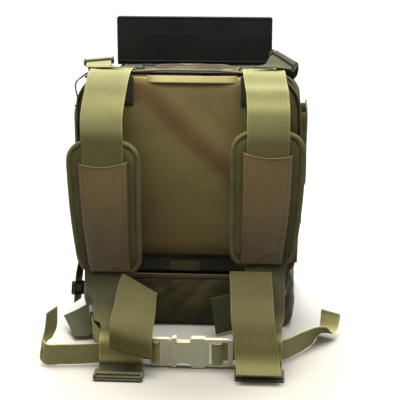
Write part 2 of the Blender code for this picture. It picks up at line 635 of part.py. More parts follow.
def belt_anchors():
    """Webbing from the pack's lower corners to the buckle, run behind the shoulder webbing."""
    ring = Vector((-0.1120, -0.1440, 0.0330))
    along = Vector((0.19, -0.78, -0.59)).normalized()
    edgeways = (0.10, -0.60, 0.79)
    run = [ring + along * step for step in (-0.014, -0.007, 0.0, 0.007, 0.014)]
    left = [(-0.1190, -0.0925, 0.0690), (-0.1190, -0.1050, 0.0630), *run, (-0.1020, -0.1700, 0.0180),
            (-0.0860, -0.1860, 0.0160), (-0.0680, -0.1980, 0.0160)]
    upright = (0.0, 0.0, 1.0)
    across = [(0.10, -0.20, 0.97), (0.10, -0.40, 0.90)] + [edgeways] * 5 + [upright] * 3
    strap("belt_anchor_left", left, across, BELT, (OLIVE, 0.85), steps=2)
    right = [(0.1200, -0.0930, 0.0400), (0.1195, -0.1080, 0.0360), (0.1160, -0.1300, 0.0270),
             (0.1080, -0.1500, 0.0190), (0.0960, -0.1700, 0.0160), (0.0820, -0.1860, 0.0165)]
    strap("belt_anchor_right", right, [(0.20, 0.10, 0.95)] + [upright] * 5, BELT, (OLIVE, 0.85), steps=2)
    web_slider("belt_ring_left", ring, frame_from(edgeways, along), BELT + 0.0062, 0.013, (BUCKLE, 0.5))


def buckle():
    """Side-release buckle, closed: the male body on the left slides out of the female body."""
    y, z = BELT_Y, BELT_Z
    female = block("buckle_female", (-0.0105, y - 0.0045, z - 0.0180), (0.0320, y + 0.0045, z + 0.0180),
                   (BUCKLE, 0.5),
                   (("Y", lambda middle: True, 0.003, 1), ("Z", lambda middle: True, 0.0015, 1)))
    join(female, (0.0300, y - 0.0028, z - 0.0165), (0.0617, y + 0.0028, z + 0.0165),
         (("Y", side_of("X", 1), 0.004, 2),))
    cut(female, (-0.0200, y - 0.0026, z - 0.0140), (0.0220, y + 0.0026, z + 0.0140))
    for up in (1, -1):
        low, high = sorted((z + up * 0.0130, z + up * 0.0250))
        cut(female, (-0.0035, y - 0.0100, low), (0.0140, y + 0.0100, high),
            (("Y", side_of("Z", -up), 0.003, 2),))
    for low, high in ((0.0345, 0.0410), (0.0460, 0.0560)):
        cut(female, (low, y - 0.01, z - 0.0132), (high, y + 0.01, z + 0.0132))

    male = block("buckle_male", (-0.0345, y - 0.0028, z - 0.0165), (-0.0115, y + 0.0028, z + 0.0165),
                 (BUCKLE, 0.5), (("Y", side_of("X", -1), 0.004, 2),))
    join(male, (-0.0120, y - 0.0022, z - 0.0030), (0.0200, y + 0.0022, z + 0.0030),
         (("Y", side_of("X", 1), 0.002, 1),))
    for low, high in ((-0.0320, -0.0288), (-0.0258, -0.0215)):
        cut(male, (low, y - 0.01, z - 0.0132), (high, y + 0.01, z + 0.0132))
    pivot(male, (-0.0115, y, z))
    for name, up in (("upper", 1), ("lower", -1)):
        root_low, root_high = sorted((z + up * 0.0088, z + up * 0.0122))
        prong = block(f"buckle_prong_{name}", (-0.0111, y - 0.0021, root_low),
                      (0.0120, y + 0.0021, root_high), (BUCKLE, 0.5))
        tip_low, tip_high = sorted((z + up * 0.0100, z + up * 0.0136))
        join(prong, (-0.0020, y - 0.0021, tip_low), (0.0120, y + 0.0021, tip_high),
             (("Y", side_of("Z", up), 0.0012, 1),))
        pivot(prong, (-0.0111, y, (root_low + root_high) / 2))


# ---------------------------------------------------------------- side compression straps
def compression_straps():
    """Black-buckled side straps: the right one is fastened along the side, the left one hangs loose."""
    face = SHELL_HALF + 0.0014
    strap("compression_strap_right", [(face, -0.050, 0.128), (face + 0.0010, -0.025, 0.128),
                                      (face + 0.0016, 0.0, 0.128), (face + 0.0010, 0.020, 0.128),
                                      (face, 0.034, 0.128)], (0, 0, 1), 0.020, (DARK_GREEN, 0.85))
    web_slider("compression_buckle_right", (face + 0.0016, -0.004, 0.128), frame_from((0, 0, 1), (0, 1, 0)),
               0.027, 0.022, (BLACK, 0.45))
    hanging = [(-face, -0.020, 0.1050), (-face - 0.0035, -0.022, 0.0860), (-face - 0.0065, -0.026, 0.0660),
               (-face - 0.0090, -0.032, 0.0470), (-face - 0.0102, -0.038, 0.0290),
               (-face - 0.0105, -0.042, 0.0130)]
    out = (0.30, 0.94, 0.0)
    ways = [(0.0, 1.0, 0.0), (0.12, 0.98, 0.0), (0.22, 0.96, 0.0), out, out, out]
    strap("compression_strap_left", hanging, ways, 0.020, (KHAKI, 0.85))
    web_slider("compression_buckle_left", Vector(hanging[4]), frame_from(out, (-0.03, -0.30, -0.95)), 0.027,
               0.018, (BLACK, 0.45))


# ---------------------------------------------------------------- build
main_compartment()
back_panel()
lumbar_band()
bottom_compartment()
top_flap()
side_pockets()
piping()
sliders_and_pulls()
case_sleeve()
case_tub()
case_lid()
case_latch()
case_tray()
front_pocket()
for each in SIDES:
    anchor_patch(each)
    shoulder_webbing(each)
    shoulder_pad(each)
    lifter(each)
strap_tails()
lower_anchors()
belt_webbing()
belt_anchors()
buckle()
compression_straps()
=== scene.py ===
"""Looks of the camouflage tackle backpack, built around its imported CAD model.

Everything is in metres in the CAD frame: +Z up, -Y towards the wearer's back, +X to the wearer's right.
"""
import math

import bmesh
import bpy
from mathutils import Matrix, Vector, noise


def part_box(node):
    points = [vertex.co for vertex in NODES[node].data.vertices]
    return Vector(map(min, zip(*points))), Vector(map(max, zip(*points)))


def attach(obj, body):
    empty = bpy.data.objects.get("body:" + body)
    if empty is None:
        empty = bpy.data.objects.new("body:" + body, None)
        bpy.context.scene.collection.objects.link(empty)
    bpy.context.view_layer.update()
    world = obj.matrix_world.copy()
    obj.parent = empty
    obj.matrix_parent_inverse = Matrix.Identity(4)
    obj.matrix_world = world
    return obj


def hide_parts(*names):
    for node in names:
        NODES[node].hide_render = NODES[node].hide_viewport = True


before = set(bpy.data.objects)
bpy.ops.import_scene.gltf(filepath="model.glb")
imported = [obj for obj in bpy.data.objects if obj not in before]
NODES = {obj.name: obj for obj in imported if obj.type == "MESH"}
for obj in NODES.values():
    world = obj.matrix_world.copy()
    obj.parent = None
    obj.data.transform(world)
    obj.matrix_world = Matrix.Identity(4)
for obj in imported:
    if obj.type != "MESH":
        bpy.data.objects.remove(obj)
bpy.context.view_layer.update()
SIDES = {"left": -1, "right": 1}
ROOT = "pack"


# ---- camera and cord
def added(name, data):
    """A new object in the scene."""
    made = bpy.data.objects.new(name, data)
    bpy.context.scene.collection.objects.link(made)
    return made


def span(node):
    """The low and the high corner of a CAD node's box."""
    return map(Vector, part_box(node))


def mm(*values, origin=(0.0, 0.0, 0.0)):
    """Points in metres, from rows of X, Y, Z in millimetres counted from the origin."""
    return [tuple(start + value / 1000 for start, value in zip(origin, values[row:row + 3]))
            for row in range(0, len(values), 3)]


def mirrored(points):
    """The points on the pack's other side, in the opposite order."""
    return [(-x, y, z) for x, y, z in reversed(points)]


CAMERA_AT = (0.1048, -1.4318, 0.551)
CAMERA_TILT, CAMERA_TURN = 74.0, 3.8        # degrees
LENS, SENSOR = 103.5, 36.0                  # millimetres


def camera():
    data = bpy.data.cameras.new("camera")
    data.sensor_width = SENSOR
    data.lens = LENS
    made = added("camera", data)
    made.location = CAMERA_AT
    made.rotation_euler = (math.radians(CAMERA_TILT), 0.0, math.radians(CAMERA_TURN))
    bpy.context.scene.camera = made


def smooth(points, steps):
    """Points along a smooth curve through the given points, however unevenly those are spaced."""
    points = [Vector(point) for point in points]
    gaps = [max(1e-6, (end - start).length) for start, end in zip(points, points[1:])]
    slopes = [(end - start) / gap for start, end, gap in zip(points, points[1:], gaps)]
    turns = [slopes[0]]
    for before, after, gap_before, gap_after in zip(slopes, slopes[1:], gaps, gaps[1:]):
        turns.append((before * gap_after + after * gap_before) / (gap_before + gap_after))
    turns.append(slopes[-1])
    path = []
    for number, gap in enumerate(gaps):
        start, end = points[number], points[number + 1]
        for step in range(steps):
            t = step / steps
            path.append((2 * t ** 3 - 3 * t * t + 1) * start + (3 * t * t - 2 * t ** 3) * end
                        + (t ** 3 - 2 * t * t + t) * gap * turns[number]
                        + (t ** 3 - t * t) * gap * turns[number + 1])
    path.append(points[-1])
    return path


PULL_PIN = Vector((-0.1215, -0.07, 0.3165))
CORD_STEPS = mm(-11.1, 0, -8.3, -12.7, -1, -9.8, -13.8, -2.8, -11.8, -14.1, -4.8, -14.4, -13.8, -6.6,
                -17.4, -13.1, -8, -20.6, -12.2, -8.8, -24, -11.4, -9.1, -27.6, -10.8, -9.2, -31.3,
                -10.4, -9.2, -35.1)
CORD_THICK = 0.0018


# ---- looks
def tone(red, green, blue):
    """A display colour of 0 to 255 as the linear colour that a shader takes."""
    return tuple(((part / 255 + 0.055) / 1.055) ** 2.4 if part > 10 else part / 3295
                 for part in (red, green, blue)) + (1.0,)


def add_node(tree, kind, inputs, **settings):
    """A shader node whose inputs are numbers, colours or other nodes' outputs."""
    made = tree.nodes.new("ShaderNode" + kind)
    for key, value in settings.items():
        setattr(made, key, value)
    for key, value in inputs.items():
        if isinstance(value, bpy.types.NodeSocket):
            tree.links.new(value, made.inputs[key])
        else:
            made.inputs[key].default_value = value
    return made


class Look:
    """A Principled material, with short ways to add its nodes."""

    def __init__(self, name, roughness, metallic=0.0, sheen=0.0, sheen_rough=0.5, shine=0.5):
        self.material = bpy.data.materials.new(name)
        self.material.use_nodes = True
        self.tree = self.material.node_tree
        self.shader = self.tree.nodes["Principled BSDF"]
        for socket, value in (("Roughness", roughness), ("Metallic", metallic), ("Sheen Weight", sheen),
                              ("Sheen Roughness", sheen_rough), ("Specular IOR Level", shine)):
            self.shader.inputs[socket].default_value = value
        self.normal = None

    def node(self, kind, inputs, **settings):
        return add_node(self.tree, kind, inputs, **settings)

    def calc(self, operation, first, second=0.0):
        return self.node("Math", {0: first, 1: second}, operation=operation).outputs[0]

    def place(self):
        return self.node("TexCoord", {}).outputs["Object"]

    def axes(self):
        return self.node("SeparateXYZ", {0: self.place()}).outputs

    def along(self):
        """The strip or fabric coordinates in metres: across, and along."""
        parts = self.node("SeparateXYZ", {0: self.node("TexCoord", {}).outputs["UV"]})
        return parts.outputs[0], parts.outputs[1]

    def grain(self, scale, detail=3.0, distortion=0.0, vector=None):
        return self.node("TexNoise", {"Vector": vector or self.place(), "Scale": scale, "Detail": detail,
                                      "Distortion": distortion}).outputs["Fac"]

    def steps(self, value, stops):
        made = self.node("ValToRGB", {"Fac": value})
        made.color_ramp.interpolation = "EASE"
        while len(made.color_ramp.elements) < len(stops):
            made.color_ramp.elements.new(0.5)
        if len(stops) == 1:
            made.color_ramp.elements.remove(made.color_ramp.elements[-1])
        for element, (position, colour) in zip(made.color_ramp.elements, stops):
            element.position, element.color = position, colour
        return made.outputs["Color"]

    def ramp(self, value, low, high, start=0.0, end=1.0):
        return self.node("MapRange", {"Value": value, "From Min": low, "From Max": high, "To Min": start,
                                      "To Max": end}, interpolation_type="SMOOTHSTEP").outputs[0]

    def blend(self, share, first, second, mode="MIX"):
        return self.node("Mix", {0: share, 6: first, 7: second}, data_type="RGBA", blend_type=mode).outputs[2]

    def colour(self, value):
        self.tree.links.new(value, self.shader.inputs["Base Color"])

    def relief(self, height, distance, strength=1.0):
        """Add a bump of the given depth in metres on top of those already there."""
        inputs = {"Height": height, "Distance": distance, "Strength": strength}
        if self.normal is not None:
            inputs["Normal"] = self.normal
        self.normal = self.node("Bump", inputs).outputs["Normal"]
        self.tree.links.new(self.normal, self.shader.inputs["Normal"])

    def rough(self, value):
        self.tree.links.new(value, self.shader.inputs["Roughness"])


WEAVE = 0.0009          # pitch of a plain fabric's threads
RIB = 0.0031            # pitch of the wide webbing's lengthwise ribs
CROSS = 0.0021          # pitch of its cross threads
FINE_RIB, FINE_CROSS = 0.0021, 0.0016
REACH = 0.36            # height in metres that a webbing's colour stops are shared out over
DULL = {"sheen": 0.06, "shine": 0.3}


def wave(look, value, pitch):
    return look.calc("SINE", look.calc("MULTIPLY", value, math.tau / pitch))


def woven(look, pitch=WEAVE, depth=0.00012):
    across, along = look.along()
    look.relief(look.calc("MULTIPLY", wave(look, across, pitch), wave(look, along, pitch)), depth, 0.6)


def webbing_look(name, heights, ribs, cross, depth, width=0.0):
    """Ribbed webbing whose colour goes through the given (height in m, colour) stops, lowest first; several
    stops paint light and shade by height.

    Painted shade darkens the grooves between the ribs, cross threads show in them, and a woven edge is paler.
    """
    look = Look(name, 0.72, **DULL)
    across, along = look.along()
    stops = [(height / REACH, tone(*colour)) for height, colour in heights]
    # the height stops paint light and shade: lighter where light falls on the strip, darker where it is shaded
    shade = look.steps(look.calc("MULTIPLY", look.axes()[2], 1 / REACH), stops)
    dark = look.blend(1.0, shade, (0.5, 0.5, 0.42, 1.0), "MULTIPLY")
    pale = look.blend(1.0, shade, (1.3, 1.3, 1.36, 1.0), "MULTIPLY")
    groove = look.ramp(wave(look, across, ribs), -1.0, 0.1, 0.42, 1.0)
    picks = look.calc("MULTIPLY", wave(look, across, ribs / 2), wave(look, along, cross))
    shade = look.blend(look.ramp(look.grain(38.0, 4.0), 0.35, 0.7, 0.0, 0.25), shade, dark)
    # painted shade: the grooves between the ribs are darkened, standing in for the shade that falls in them
    shade = look.blend(groove, dark, shade)
    shade = look.blend(look.ramp(picks, 0.1, 1.0, 0.0, 0.5), shade, dark)
    shade = look.blend(look.ramp(picks, -1.0, -0.3, 0.45, 0.0), shade, pale)
    if width:
        rim = look.calc("MINIMUM", across, look.calc("SUBTRACT", width, across))
        shade = look.blend(look.ramp(rim, 0.0009, 0.002, 0.7, 0.0), shade, pale)
    look.colour(shade)
    look.relief(picks, depth * 0.5, 0.7)
    look.relief(groove, depth, 0.7)
    look.relief(look.grain(2500.0, 2.0), 0.00012, 0.5)
    return look.material


def camo_look(name, tones, scale, soft, roughness):
    """Printed camouflage: blots of three colours over a ground colour, on a plain weave."""
    look = Look(name, roughness, sheen=0.05, shine=DULL["shine"])
    shade, *blots = [tone(*colour) for colour in tones]
    for number, (blot, reach) in enumerate(zip(blots, (0.5, 0.56, 0.61))):
        shifted = look.node("VectorMath", {0: look.place(), 1: (0.37 * number, 0.11 * number, 0.23 * number)},
                            operation="ADD").outputs[0]
        spot = look.grain(scale * (1 + 0.35 * number), 2.5, 0.8, shifted)
        shade = look.blend(look.ramp(spot, reach, reach + soft), shade, blot)
    look.colour(look.blend(look.ramp(look.grain(60.0, 4.0), 0.3, 0.75, 0.0, 0.35), shade, blots[0]))
    woven(look)
    return look.material


def cloth_look(name, colour, second, roughness=0.7, patch=14.0, pitch=WEAVE):
    look = Look(name, roughness, **DULL)
    share = look.ramp(look.grain(patch, 4.0, 0.4), 0.35, 0.68)
    look.colour(look.blend(share, tone(*colour), tone(*second)))
    woven(look, pitch)
    return look.material


def panel_look():
    """The back panel's print: olive ground with a wide brown band falling from left to right, under painted
    shade that darkens it towards the bottom left.
    """
    look = Look("panel_fabric", 0.62, sheen_rough=0.4, **DULL)
    across, _, height = look.axes()
    diagonal = look.calc("ADD", across, height)
    warped = look.calc("ADD", diagonal, look.calc("MULTIPLY", look.grain(9.0, 2.0), 0.035))
    # besides the brown band, the stops grow paler towards the top right: painted shade, darker low down
    shade = look.steps(warped, [(0.08, tone(114, 96, 58)), (0.15, tone(120, 106, 64)),
                                (0.232, tone(137, 125, 77)), (0.262, tone(120, 92, 54)),
                                (0.295, tone(150, 132, 83)), (0.35, tone(134, 120, 74))])
    share = look.ramp(look.grain(24.0, 4.0, 0.5), 0.5, 0.8, 0.0, 0.4)
    look.colour(look.blend(share, shade, tone(88, 76, 42)))
    woven(look)
    return look.material


def coated_look():
    """Smooth coated cloth of the pad sleeves: brown olive with painted shade that darkens it low down, and a
    soft shine.
    """
    look = Look("sleeve_fabric", 0.42, sheen=0.03, sheen_rough=0.4)
    # painted shade: the sleeve colour darkens from 0.22 m down to 0.1 m height
    shade = look.blend(look.ramp(look.axes()[2], 0.1, 0.22), tone(90, 76, 44), tone(134, 112, 66))
    darker = look.blend(1.0, shade, (0.78, 0.76, 0.74, 1.0), "MULTIPLY")
    look.colour(look.blend(look.ramp(look.grain(11.0, 3.0, 0.6), 0.35, 0.7), shade, darker))
    look.rough(look.ramp(look.grain(90.0, 4.0), 0.3, 0.7, 0.36, 0.55))
    woven(look, 0.0006, 0.00004)
    return look.material


def plastic_look(name, colour, roughness, shine=0.5):
    """Moulded plastic: fine sparkle texture, slight colour drift, and paler worn patches."""
    look = Look(name, roughness, shine=shine)
    plain = tone(*colour)
    paler = tuple(part * 1.15 + 0.002 for part in plain[:3]) + (1.0,)
    look.colour(look.blend(look.ramp(look.grain(35.0, 4.0), 0.3, 0.75), plain, paler))
    look.rough(look.ramp(look.grain(160.0, 5.0), 0.3, 0.75, roughness - 0.06, roughness + 0.1))
    look.relief(look.grain(2200.0, 2.0), 0.00004, 0.5)
    return look.material


def steel_look():
    look = Look("pin_steel", 0.3, metallic=1.0)
    share = look.ramp(look.grain(400.0, 3.0), 0.3, 0.7)
    look.colour(look.blend(share, tone(170, 168, 164), tone(140, 138, 134)))
    look.rough(look.ramp(look.grain(700.0, 3.0), 0.3, 0.7, 0.22, 0.4))
    return look.material


CAMOS = {           # ground and three blot colours, scale, softness of the blots' edges, roughness
    "camo_fabric": (((104, 96, 54), (90, 66, 40), (150, 132, 84), (58, 64, 38)), 9.0, 0.05, 0.75),
    "flap_camo": (((78, 75, 52), (56, 42, 28), (112, 106, 78), (38, 41, 28)), 16.0, 0.05, 0.75),
    "base_camo": (((75, 66, 39), (60, 47, 28), (92, 82, 50), (47, 48, 29)), 7.0, 0.1, 0.45),
}
CLOTHS = {          # colour and second colour, then roughness, patch scale and thread pitch
    "pad_fabric": ((98, 95, 54), (82, 78, 43)),
    "binding": ((118, 113, 70), (102, 97, 60), 0.6, 60.0),
    # khaki_fold: paler cloth, and lighter still as a painted highlight of the light falling on the roll from
    # above
    "khaki_fold": ((186, 176, 120), (172, 158, 106)),
    "black_fabric": ((82, 78, 61), (68, 64, 50), 0.85),
    "zip_black": ((30, 30, 28), (22, 22, 21), 0.6, 90.0, 0.0006),
    "thread": ((138, 130, 88), (118, 110, 72), 0.7, 200.0, 0.0004),
    "sleeve_thread": ((110, 96, 62), (92, 80, 52), 0.7, 200.0, 0.0004),
    "dark_thread": ((88, 88, 62), (74, 74, 52), 0.7, 200.0, 0.0004),
}
WEBBINGS = {        # (height, colour) stops, then pitch of ribs and cross threads, relief and width
    # webbing_khaki: painted light and shade, bright on the strap's top over the shoulder, dark where it hangs
    # shaded below the pad, and painted light on its shaded foot
    "webbing_khaki": ([(0.008, (92, 88, 52)), (0.014, (236, 226, 150)), (0.034, (228, 218, 144)),
                       (0.046, (96, 92, 54)), (0.054, (76, 74, 46)), (0.11, (66, 62, 38)),
                       (0.24, (130, 124, 78)), (0.262, (180, 178, 118)), (0.285, (190, 188, 126)),
                       (0.305, (150, 148, 98)),
                       (0.33, (142, 140, 92))], RIB, CROSS, 0.0002, 0.05),
    # webbing_tail: painted light and shade, the tails darker up top in the pack's shadow and lighter towards
    # their low ends near the bright floor
    "webbing_tail": ([(0.015, (140, 134, 80)), (0.05, (106, 100, 54)), (0.09, (92, 87, 47))],
                     RIB, CROSS, 0.0002, 0.05),
    # webbing_olive: painted light, the belt webbing lighter low down towards the bright floor
    "webbing_olive": ([(0.022, (214, 210, 144)), (0.035, (150, 146, 98))],
                      FINE_RIB, FINE_CROSS, 0.0001, 0.025),
    "lifter_pale": ([(0.0, (140, 138, 94))], FINE_RIB, FINE_CROSS, 0.00008, 0.03),
    "webbing_dark": ([(0.0, (88, 90, 58))], FINE_RIB, FINE_CROSS, 0.00008),
    # the dark webbing made darker still: a painted shadow of the shoulder strap hanging over the patch
    "patch_dark": ([(0.0, (60, 60, 40))], FINE_RIB, FINE_CROSS, 0.00008),
    "lifter_dark": ([(0.0, (74, 74, 48))], FINE_RIB, FINE_CROSS, 0.00008),
}
PLASTICS = {        # colour, roughness, shine
    "black_plastic": ((34, 35, 31), 0.42),
    "case_plastic": ((12, 15, 13), 0.55, 0.2),
    "tray_plastic": ((150, 152, 140), 0.3),
    "buckle_plastic": ((252, 248, 209), 0.32, 1.0),
    "slider_plastic": ((98, 95, 76), 0.42),
    "stiffener": ((60, 60, 58), 0.5),
}
LOOKS = {"panel_fabric": panel_look(), "sleeve_fabric": coated_look(), "pin_steel": steel_look()}
for make, table in ((camo_look, CAMOS), (cloth_look, CLOTHS), (webbing_look, WEBBINGS),
                    (plastic_look, PLASTICS)):
    LOOKS.update({name: make(name, *settings) for name, settings in table.items()})


# ---- mesh helpers
def piece(name, data, look, node=None, body=ROOT):
    """Put a mesh or curve in the scene as a piece that rides on a body and stands for a CAD node."""
    data.materials.append(LOOKS[look])
    made = added(name, data)
    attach(made, body)
    if node:
        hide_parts(node)
    return made


def finished(shape, name, smooth_shaded=True):
    mesh = bpy.data.meshes.new(name)
    bmesh.ops.recalc_face_normals(shape, faces=shape.faces)
    shape.to_mesh(mesh)
    shape.free()
    if smooth_shaded:
        mesh.shade_smooth()
    return mesh


def flat_coordinates(mesh):
    """Give every face fabric coordinates in metres, seen along its main direction."""
    layer = mesh.uv_layers.new(name="UVMap")
    for face in mesh.polygons:
        main = max(range(3), key=lambda axis: abs(face.normal[axis]))
        first, second = [axis for axis in range(3) if axis != main]
        for loop in face.loop_indices:
            place = mesh.vertices[mesh.loops[loop].vertex_index].co
            layer.data[loop].uv = (place[first], place[second])


def cage(low, high, cell):
    """A box surface of even cells; returns the bmesh."""
    low, high = Vector(low), Vector(high)
    counts = [max(2, round((high[axis] - low[axis]) / cell)) for axis in range(3)]
    shape = bmesh.new()
    corners = {}

    def corner(*key):
        if key not in corners:
            share = [key[axis] / counts[axis] for axis in range(3)]
            corners[key] = shape.verts.new([low[axis] + (high[axis] - low[axis]) * share[axis]
                                            for axis in range(3)])
        return corners[key]

    for axis in range(3):
        first, second = [other for other in range(3) if other != axis]
        for level in (0, counts[axis]):
            for i in range(counts[first]):
                for j in range(counts[second]):
                    quad = []
                    for di, dj in ((0, 0), (1, 0), (1, 1), (0, 1)):
                        key = [0, 0, 0]
                        key[axis], key[first], key[second] = level, i + di, j + dj
                        quad.append(corner(*key))
                    shape.faces.new(quad)
    bmesh.ops.recalc_face_normals(shape, faces=shape.faces)
    return shape


def soft_block(low, high, depth_axis, radii, edge, cell):
    """A box that is rounded in its outline seen along the depth axis, then along the edges of its two faces.

    The radii are those of the corners at the high and the low end of the second outline axis.
    """
    low, high = Vector(low), Vector(high)
    middle = [(low[axis] + high[axis]) / 2 for axis in range(3)]
    first, second = [axis for axis in range(3) if axis != depth_axis]
    shape = cage(low, high, cell)
    for vert in shape.verts:
        co = vert.co
        sign = [1 if co[axis] > middle[axis] else -1 for axis in range(3)]
        wall = [high[axis] if sign[axis] > 0 else low[axis] for axis in range(3)]
        gap = [sign[axis] * (wall[axis] - co[axis]) for axis in range(3)]
        radius = radii[0] if sign[second] > 0 else radii[1]
        core = [wall[axis] - sign[axis] * radius for axis in range(3)]
        out = Vector([max(0.0, sign[axis] * (co[axis] - core[axis])) for axis in (first, second)])
        if out.x > 0 and out.y > 0:
            out *= max(out.x, out.y) / out.length
            co[first] = core[first] + sign[first] * out.x
            co[second] = core[second] + sign[second] * out.y
            inward = radius - out.length
            normal = out.normalized()
        else:
            inward = min(gap[first], gap[second])
            normal = Vector((1.0, 0.0)) if gap[first] <= gap[second] else Vector((0.0, 1.0))
        if inward < edge and gap[depth_axis] < edge:
            turn = Vector((edge - inward, edge - gap[depth_axis]))
            turn *= max(turn.x, turn.y) / max(turn.length, 1e-9)
            shift = edge - turn.x - inward
            co[first] -= sign[first] * normal.x * shift
            co[second] -= sign[second] * normal.y * shift
            co[depth_axis] -= sign[depth_axis] * (edge - turn.y - gap[depth_axis])
    return shape


def cloth(name, shape, look, node=None, body=ROOT, cutters=()):
    """A piece of fabric, less the forms cut out of it, with its fabric coordinates."""
    made = piece(name, finished(shape, name), look, node, body)
    if cutters:
        keep_cut(made, cutters)
    flat_coordinates(made.data)
    return made


def modify(made, kind, **settings):
    change = made.modifiers.new(kind.lower(), kind)
    for key, value in settings.items():
        setattr(change, key, value)
    return change


def thicken(made, thickness, offset=-1.0):
    modify(made, "SOLIDIFY", thickness=thickness, offset=offset)


def mould(shape, shift):
    """Move every point of a mesh by shift(place, normal)."""
    shape.normal_update()
    for vert, move in [(vert, shift(vert.co, vert.normal)) for vert in shape.verts]:
        vert.co += move


SETTLE = 20             # frames that a cloth simulation runs for


def inflate(made, voxel, pressure, cap):
    """Cloth simulation: swell a closed form, no point moving further than cap, and keep the result."""
    modify(made, "REMESH", mode="VOXEL", voxel_size=voxel)
    keep_evaluated(made)
    before = [vert.co.copy() for vert in made.data.vertices]
    change = modify(made, "CLOTH")
    change.settings.use_pressure = True
    change.settings.uniform_pressure_force = pressure
    change.settings.effector_weights.gravity = 0.0
    change.settings.quality = 5
    change.point_cache.frame_end = SETTLE
    for number in range(1, SETTLE + 1):
        bpy.context.scene.frame_set(number)
    keep_evaluated(made)
    bpy.context.scene.frame_set(1)
    for vert, start in zip(made.data.vertices, before):
        move = vert.co - start
        if move.length > cap:
            vert.co = start + move * (cap / move.length)
    made.data.shade_smooth()


def keep_evaluated(made):
    """Replace a piece's mesh with its evaluated one, and drop its modifiers."""
    graph = bpy.context.evaluated_depsgraph_get()
    mesh = bpy.data.meshes.new_from_object(made.evaluated_get(graph))
    made.modifiers.clear()
    made.data = mesh


BEVEL_ANGLE = math.radians(35.0)


def hard(look, width, segments, *nodes):
    """Round the sharp edges of CAD nodes that keep their shape, and give them their look."""
    for node in nodes:
        modify(NODES[node], "WELD", merge_threshold=0.00001)
        modify(NODES[node], "BEVEL", width=width, segments=segments, limit_method="ANGLE",
               angle_limit=BEVEL_ANGLE, harden_normals=True)
        paint(look, node)


def paint(look, *nodes):
    for node in nodes:
        mesh = NODES[node].data
        mesh.materials.clear()
        mesh.materials.append(LOOKS[look])


THICK = 0.0014          # webbing
SWAY = 0.0003           # how far a strip wanders sideways


def strip_frames(points, across, steps):
    """Centre, width direction, normal and distance along, for each station of a strip."""
    if isinstance(across, tuple):
        across = [across] * len(points)
    path = smooth(points, steps)
    travelled = 0.0
    stations = []
    for number, (centre, way) in enumerate(zip(path, smooth(across, steps))):
        before, after = path[max(0, number - 1)], path[min(len(path) - 1, number + 1)]
        way = way.normalized()
        normal = way.cross((after - before).normalized()).normalized()
        travelled += (centre - path[max(0, number - 1)]).length
        stations.append((centre, way, normal, travelled))
    return stations


def webbing(name, look, slot, node, points, across, width, body=ROOT, ribs=16, steps=8, bow=0.0,
            rib_height=0.00012):
    """A strip of ribbed webbing swept through the points, with its coordinates in metres."""
    stations = strip_frames(points, across, steps)
    length = stations[-1][3]
    columns = ribs * 4
    shape = bmesh.new()
    layer = shape.loops.layers.uv.new("UVMap")
    rings = []
    for centre, way, normal, travelled in stations:
        upper, lower = [], []
        sway = SWAY * math.sin(travelled * 90 + len(name))
        for column in range(columns + 1):
            share = column / columns
            edge = min(share, 1 - share) * width
            half = THICK / 2 * min(1.0, 0.35 + math.sqrt(edge / 0.0012))
            rib = rib_height * (0.5 - 0.5 * math.cos(math.tau * share * ribs)) * min(1.0, edge / 0.002)
            curl = bow * (1 - (2 * share - 1) ** 2) * math.sin(math.pi * travelled / length)
            place = centre + way * ((share - 0.5) * width + sway) + normal * curl
            out = normal * (half - rib_height + rib)
            for row, spot in ((upper, place + out), (lower, place - out)):
                row.append((shape.verts.new(spot), share * width, travelled))
        rings.append(upper + lower[::-1])

    def quad(corners):
        face = shape.faces.new([corner[0] for corner in corners])
        for loop, (_, u, v) in zip(face.loops, corners):
            loop[layer].uv = (u, v)

    count = 2 * (columns + 1)
    for ring, following in zip(rings, rings[1:]):
        for index in range(count):
            after = (index + 1) % count
            quad((ring[index], ring[after], following[after], following[index]))
    for ring in (rings[0], rings[-1]):
        for index in range(columns):
            quad((ring[index], ring[index + 1], ring[count - 2 - index], ring[count - 1 - index]))
    return piece(name, finished(shape, name), look, node, body)


def tube(name, points, radius, body=ROOT, look="binding", node=None, steps=4,
         resolution=3):
    """A round strip through the points; most are the pack's bindings and seams."""
    curve = bpy.data.curves.new(name, "CURVE")
    curve.dimensions = "3D"
    curve.bevel_depth = radius
    curve.bevel_resolution = resolution
    curve.use_fill_caps = True
    path = smooth(points, steps)
    spline = curve.splines.new("POLY")
    spline.points.add(len(path) - 1)
    for control, place in zip(spline.points, path):
        control.co = (*place, 1.0)
    return piece(name, curve, look, node, body)


def even_places(points, pitch):
    """Evenly spaced places and directions along a polyline."""
    places = []
    spare = 0.0
    for start, end in zip(points, points[1:]):
        run = end - start
        reach = run.length
        if reach == 0:
            continue
        along = run / reach
        while spare <= reach:
            places.append((start + along * spare, along))
            spare += pitch
        spare -= reach
    return places


def beads(name, places):
    """One mesh of small rounded beads, each given by its centre and its three half axes."""
    corners = [(0.0, 0.0, 1.0)]
    for level in (math.pi / 4, math.pi / 2, 3 * math.pi / 4):
        corners += [(math.sin(level) * math.cos(turn), math.sin(level) * math.sin(turn), math.cos(level))
                    for turn in (math.tau * step / 6 for step in range(6))]
    corners.append((0.0, 0.0, -1.0))
    faces = [(0, 1 + step, 1 + (step + 1) % 6) for step in range(6)]
    for ring in (1, 7):
        faces += [(ring + step, ring + 6 + step, ring + 6 + (step + 1) % 6, ring + (step + 1) % 6)
                  for step in range(6)]
    faces += [(19, 13 + (step + 1) % 6, 13 + step) for step in range(6)]
    points, sides = [], []
    for centre, first, second, third in places:
        start = len(points)
        points += [centre + first * a + second * b + third * c for a, b, c in corners]
        sides += [[start + corner for corner in face] for face in faces]
    mesh = bpy.data.meshes.new(name)
    mesh.from_pydata(points, [], sides)
    mesh.shade_smooth()
    return mesh


